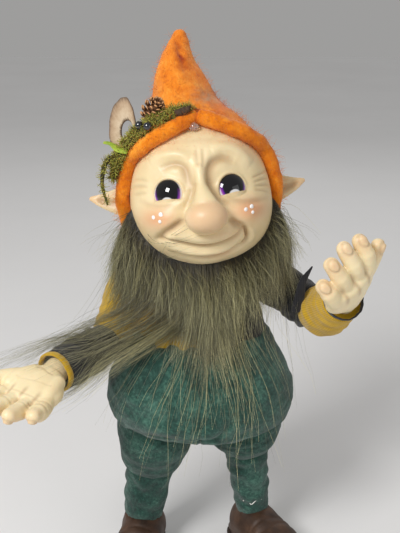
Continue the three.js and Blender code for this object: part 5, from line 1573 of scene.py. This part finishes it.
def combStrands():
    dice = np.random.default_rng(beard["seed"])
    where, row, roots, guides, length = combClumps(dice)
    count, reach = beard["strands"], beard["reach"]
    clump = dice.integers(0, beard["clumps"], count)
    own = rootPlaces(np.clip(where[clump] + dice.normal(0, 0.012, count), -1, 1),
                     np.clip(row[clump] + dice.normal(0, 0.12, count), 0, 1))
    share = length[clump] * np.clip(dice.normal(0.9, 0.2, count), 0.3, 1.2)
    kind = dice.uniform(size=count)
    isLong = kind < beard["long"]
    share = np.select([kind < beard["longest"], isLong],
                      [dice.uniform(0.8, 1.0, count), dice.uniform(0.45, 0.8, count)], share)
    t = np.linspace(0, 1, beard["segments"] + 1)[None, :] * np.clip(share, 0.1, 1.0)[:, None]
    low = np.minimum((t * reach).astype(int), reach - 1)
    part = (t * reach - low)[..., None]
    path = guides[clump[:, None], low] * (1 - part) + guides[clump[:, None], low + 1] * part
    gather = 1 - beard["gather"] * smoothstep(t, 0.0, 0.75)
    path = path + (own - roots[clump])[:, None] * gather[..., None]
    t = t[..., None]
    loose = dice.normal(size=(count, 1, 3)) * beard["loose"] * t**1.2
    phase = dice.uniform(0, 6.3, (count, 1, 3))
    wave = np.sin(phase + t * dice.uniform(5, 22, (count, 1, 1))) * beard["wave"] * smoothstep(t, 0, 0.12)
    wave = wave * np.where(isLong, beard["straighter"], 1)[:, None, None]
    astray = dice.uniform(size=(count, 1, 1)) < beard["astrayShare"]
    astray = astray * dice.normal(size=(count, 1, 3)) * beard["astray"] * t**1.5
    path = keptOut(path + loose + wave + astray)
    tone = dice.normal(0.47, 0.25, count) + 0.12 * isLong
    curls, curlPlace = frizz(dice)
    tone = np.clip(tone + dice.normal(0, 0.13, beard["clumps"])[clump], 0, 1)
    order = np.argsort(np.concatenate([where[clump], curlPlace]))
    return np.concatenate([path, curls]), np.concatenate([tone, dice.uniform(0.3, 0.9, len(curls))]), order


def strandTree():
    tree, given = newTree("strands", {"Radius": ("Float", 0.0001), "Sides": ("Int", 3), "Taper": ("Float", 0.75),
                                      "Finish": ("Material", None)})
    curve = output(tree, "GeometryNodeMeshToCurve", {0: given["Surface"]})
    taper = output(tree, "GeometryNodeSplineParameter", pick="Factor") * given["Taper"]
    thin = output(tree, "ShaderNodeMath", {0: 1.0, 1: taper}, operation="SUBTRACT")
    ring = output(tree, "GeometryNodeCurvePrimitiveCircle", {"Resolution": given["Sides"], "Radius": given["Radius"]})
    tube = output(tree, "GeometryNodeCurveToMesh", {0: curve, 1: ring, "Scale": thin, "Fill Caps": True})
    return closeTree(tree, output(tree, "GeometryNodeSetShadeSmooth", {0: tube}), given["Finish"])


def hairFinish():
    tree, coat = newMaterial("beardFur", {"Roughness": 0.42, "Specular IOR Level": 0.6, "Sheen Weight": 0.15})
    # darker towards the roots: partly the fibre's own colour, partly painted shade under the chin
    root = ramp(painted(tree, "along"), [(0.0, 38, 31, 17), (0.2, 78, 70, 42), (0.5, 130, 125, 88),
                                         (1.0, 172, 168, 134)])
    shade = ramp(painted(tree, "tone"), [(0.12, 0.25, 0.24, 0.2, 1), (0.5, 0.8, 0.8, 0.76, 1),
                                         (0.8, 1.4, 1.39, 1.3, 1), (0.95, 2.4, 2.34, 2.1, 1)])
    return coat(mixed(1.0, root, shade, "MULTIPLY"))


strandsOf = strandTree()
beardFur = hairFinish()


def hairPiece(name, paths, tone):
    count, steps = paths.shape[:2]
    row = np.arange(count * steps).reshape(count, steps)
    pairs = np.stack([row[:, :-1].ravel(), row[:, 1:].ravel()], 1)
    mesh = bpy.data.meshes.new(name)
    mesh.vertices.add(count * steps)
    mesh.vertices.foreach_set("co", inFrame(paths).astype(np.float32).ravel())
    mesh.edges.add(len(pairs))
    mesh.edges.foreach_set("vertices", pairs.astype(np.int32).ravel())
    obj = link(name, mesh)
    paint(obj, "along", np.tile(np.linspace(0, 1, steps), count))
    paint(obj, "tone", np.repeat(tone, steps))
    return grow(obj, strandsOf, {"Radius": beard["thick"] * mm, "Sides": 3, "Taper": 0.7, "Finish": beardFur})


paths, tone, order = combStrands()
places = {"far_right": ["beard_right"], "right_side": [], "right_middle": ["beard_chin"], "left_middle": [],
          "left_side": [], "far_left": ["beard_left"]}
for (name, nodes), which in zip(places.items(), np.array_split(order, len(places))):
    hair = hairPiece(f"beard_{name}", paths[which], tone[which])
    mount(hair, ("head", "torso", vec(0, -30, 168), vec(0, -42, 118)), "beard_hair", beardFur, *nodes)
    print("stage:", hair.name, len(hair.data.polygons))

({"cad": [[float(x) for x in corner] for corner in (cadLow, cadHigh)],
           "visual": [[float(x) for x in corner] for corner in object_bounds()]})
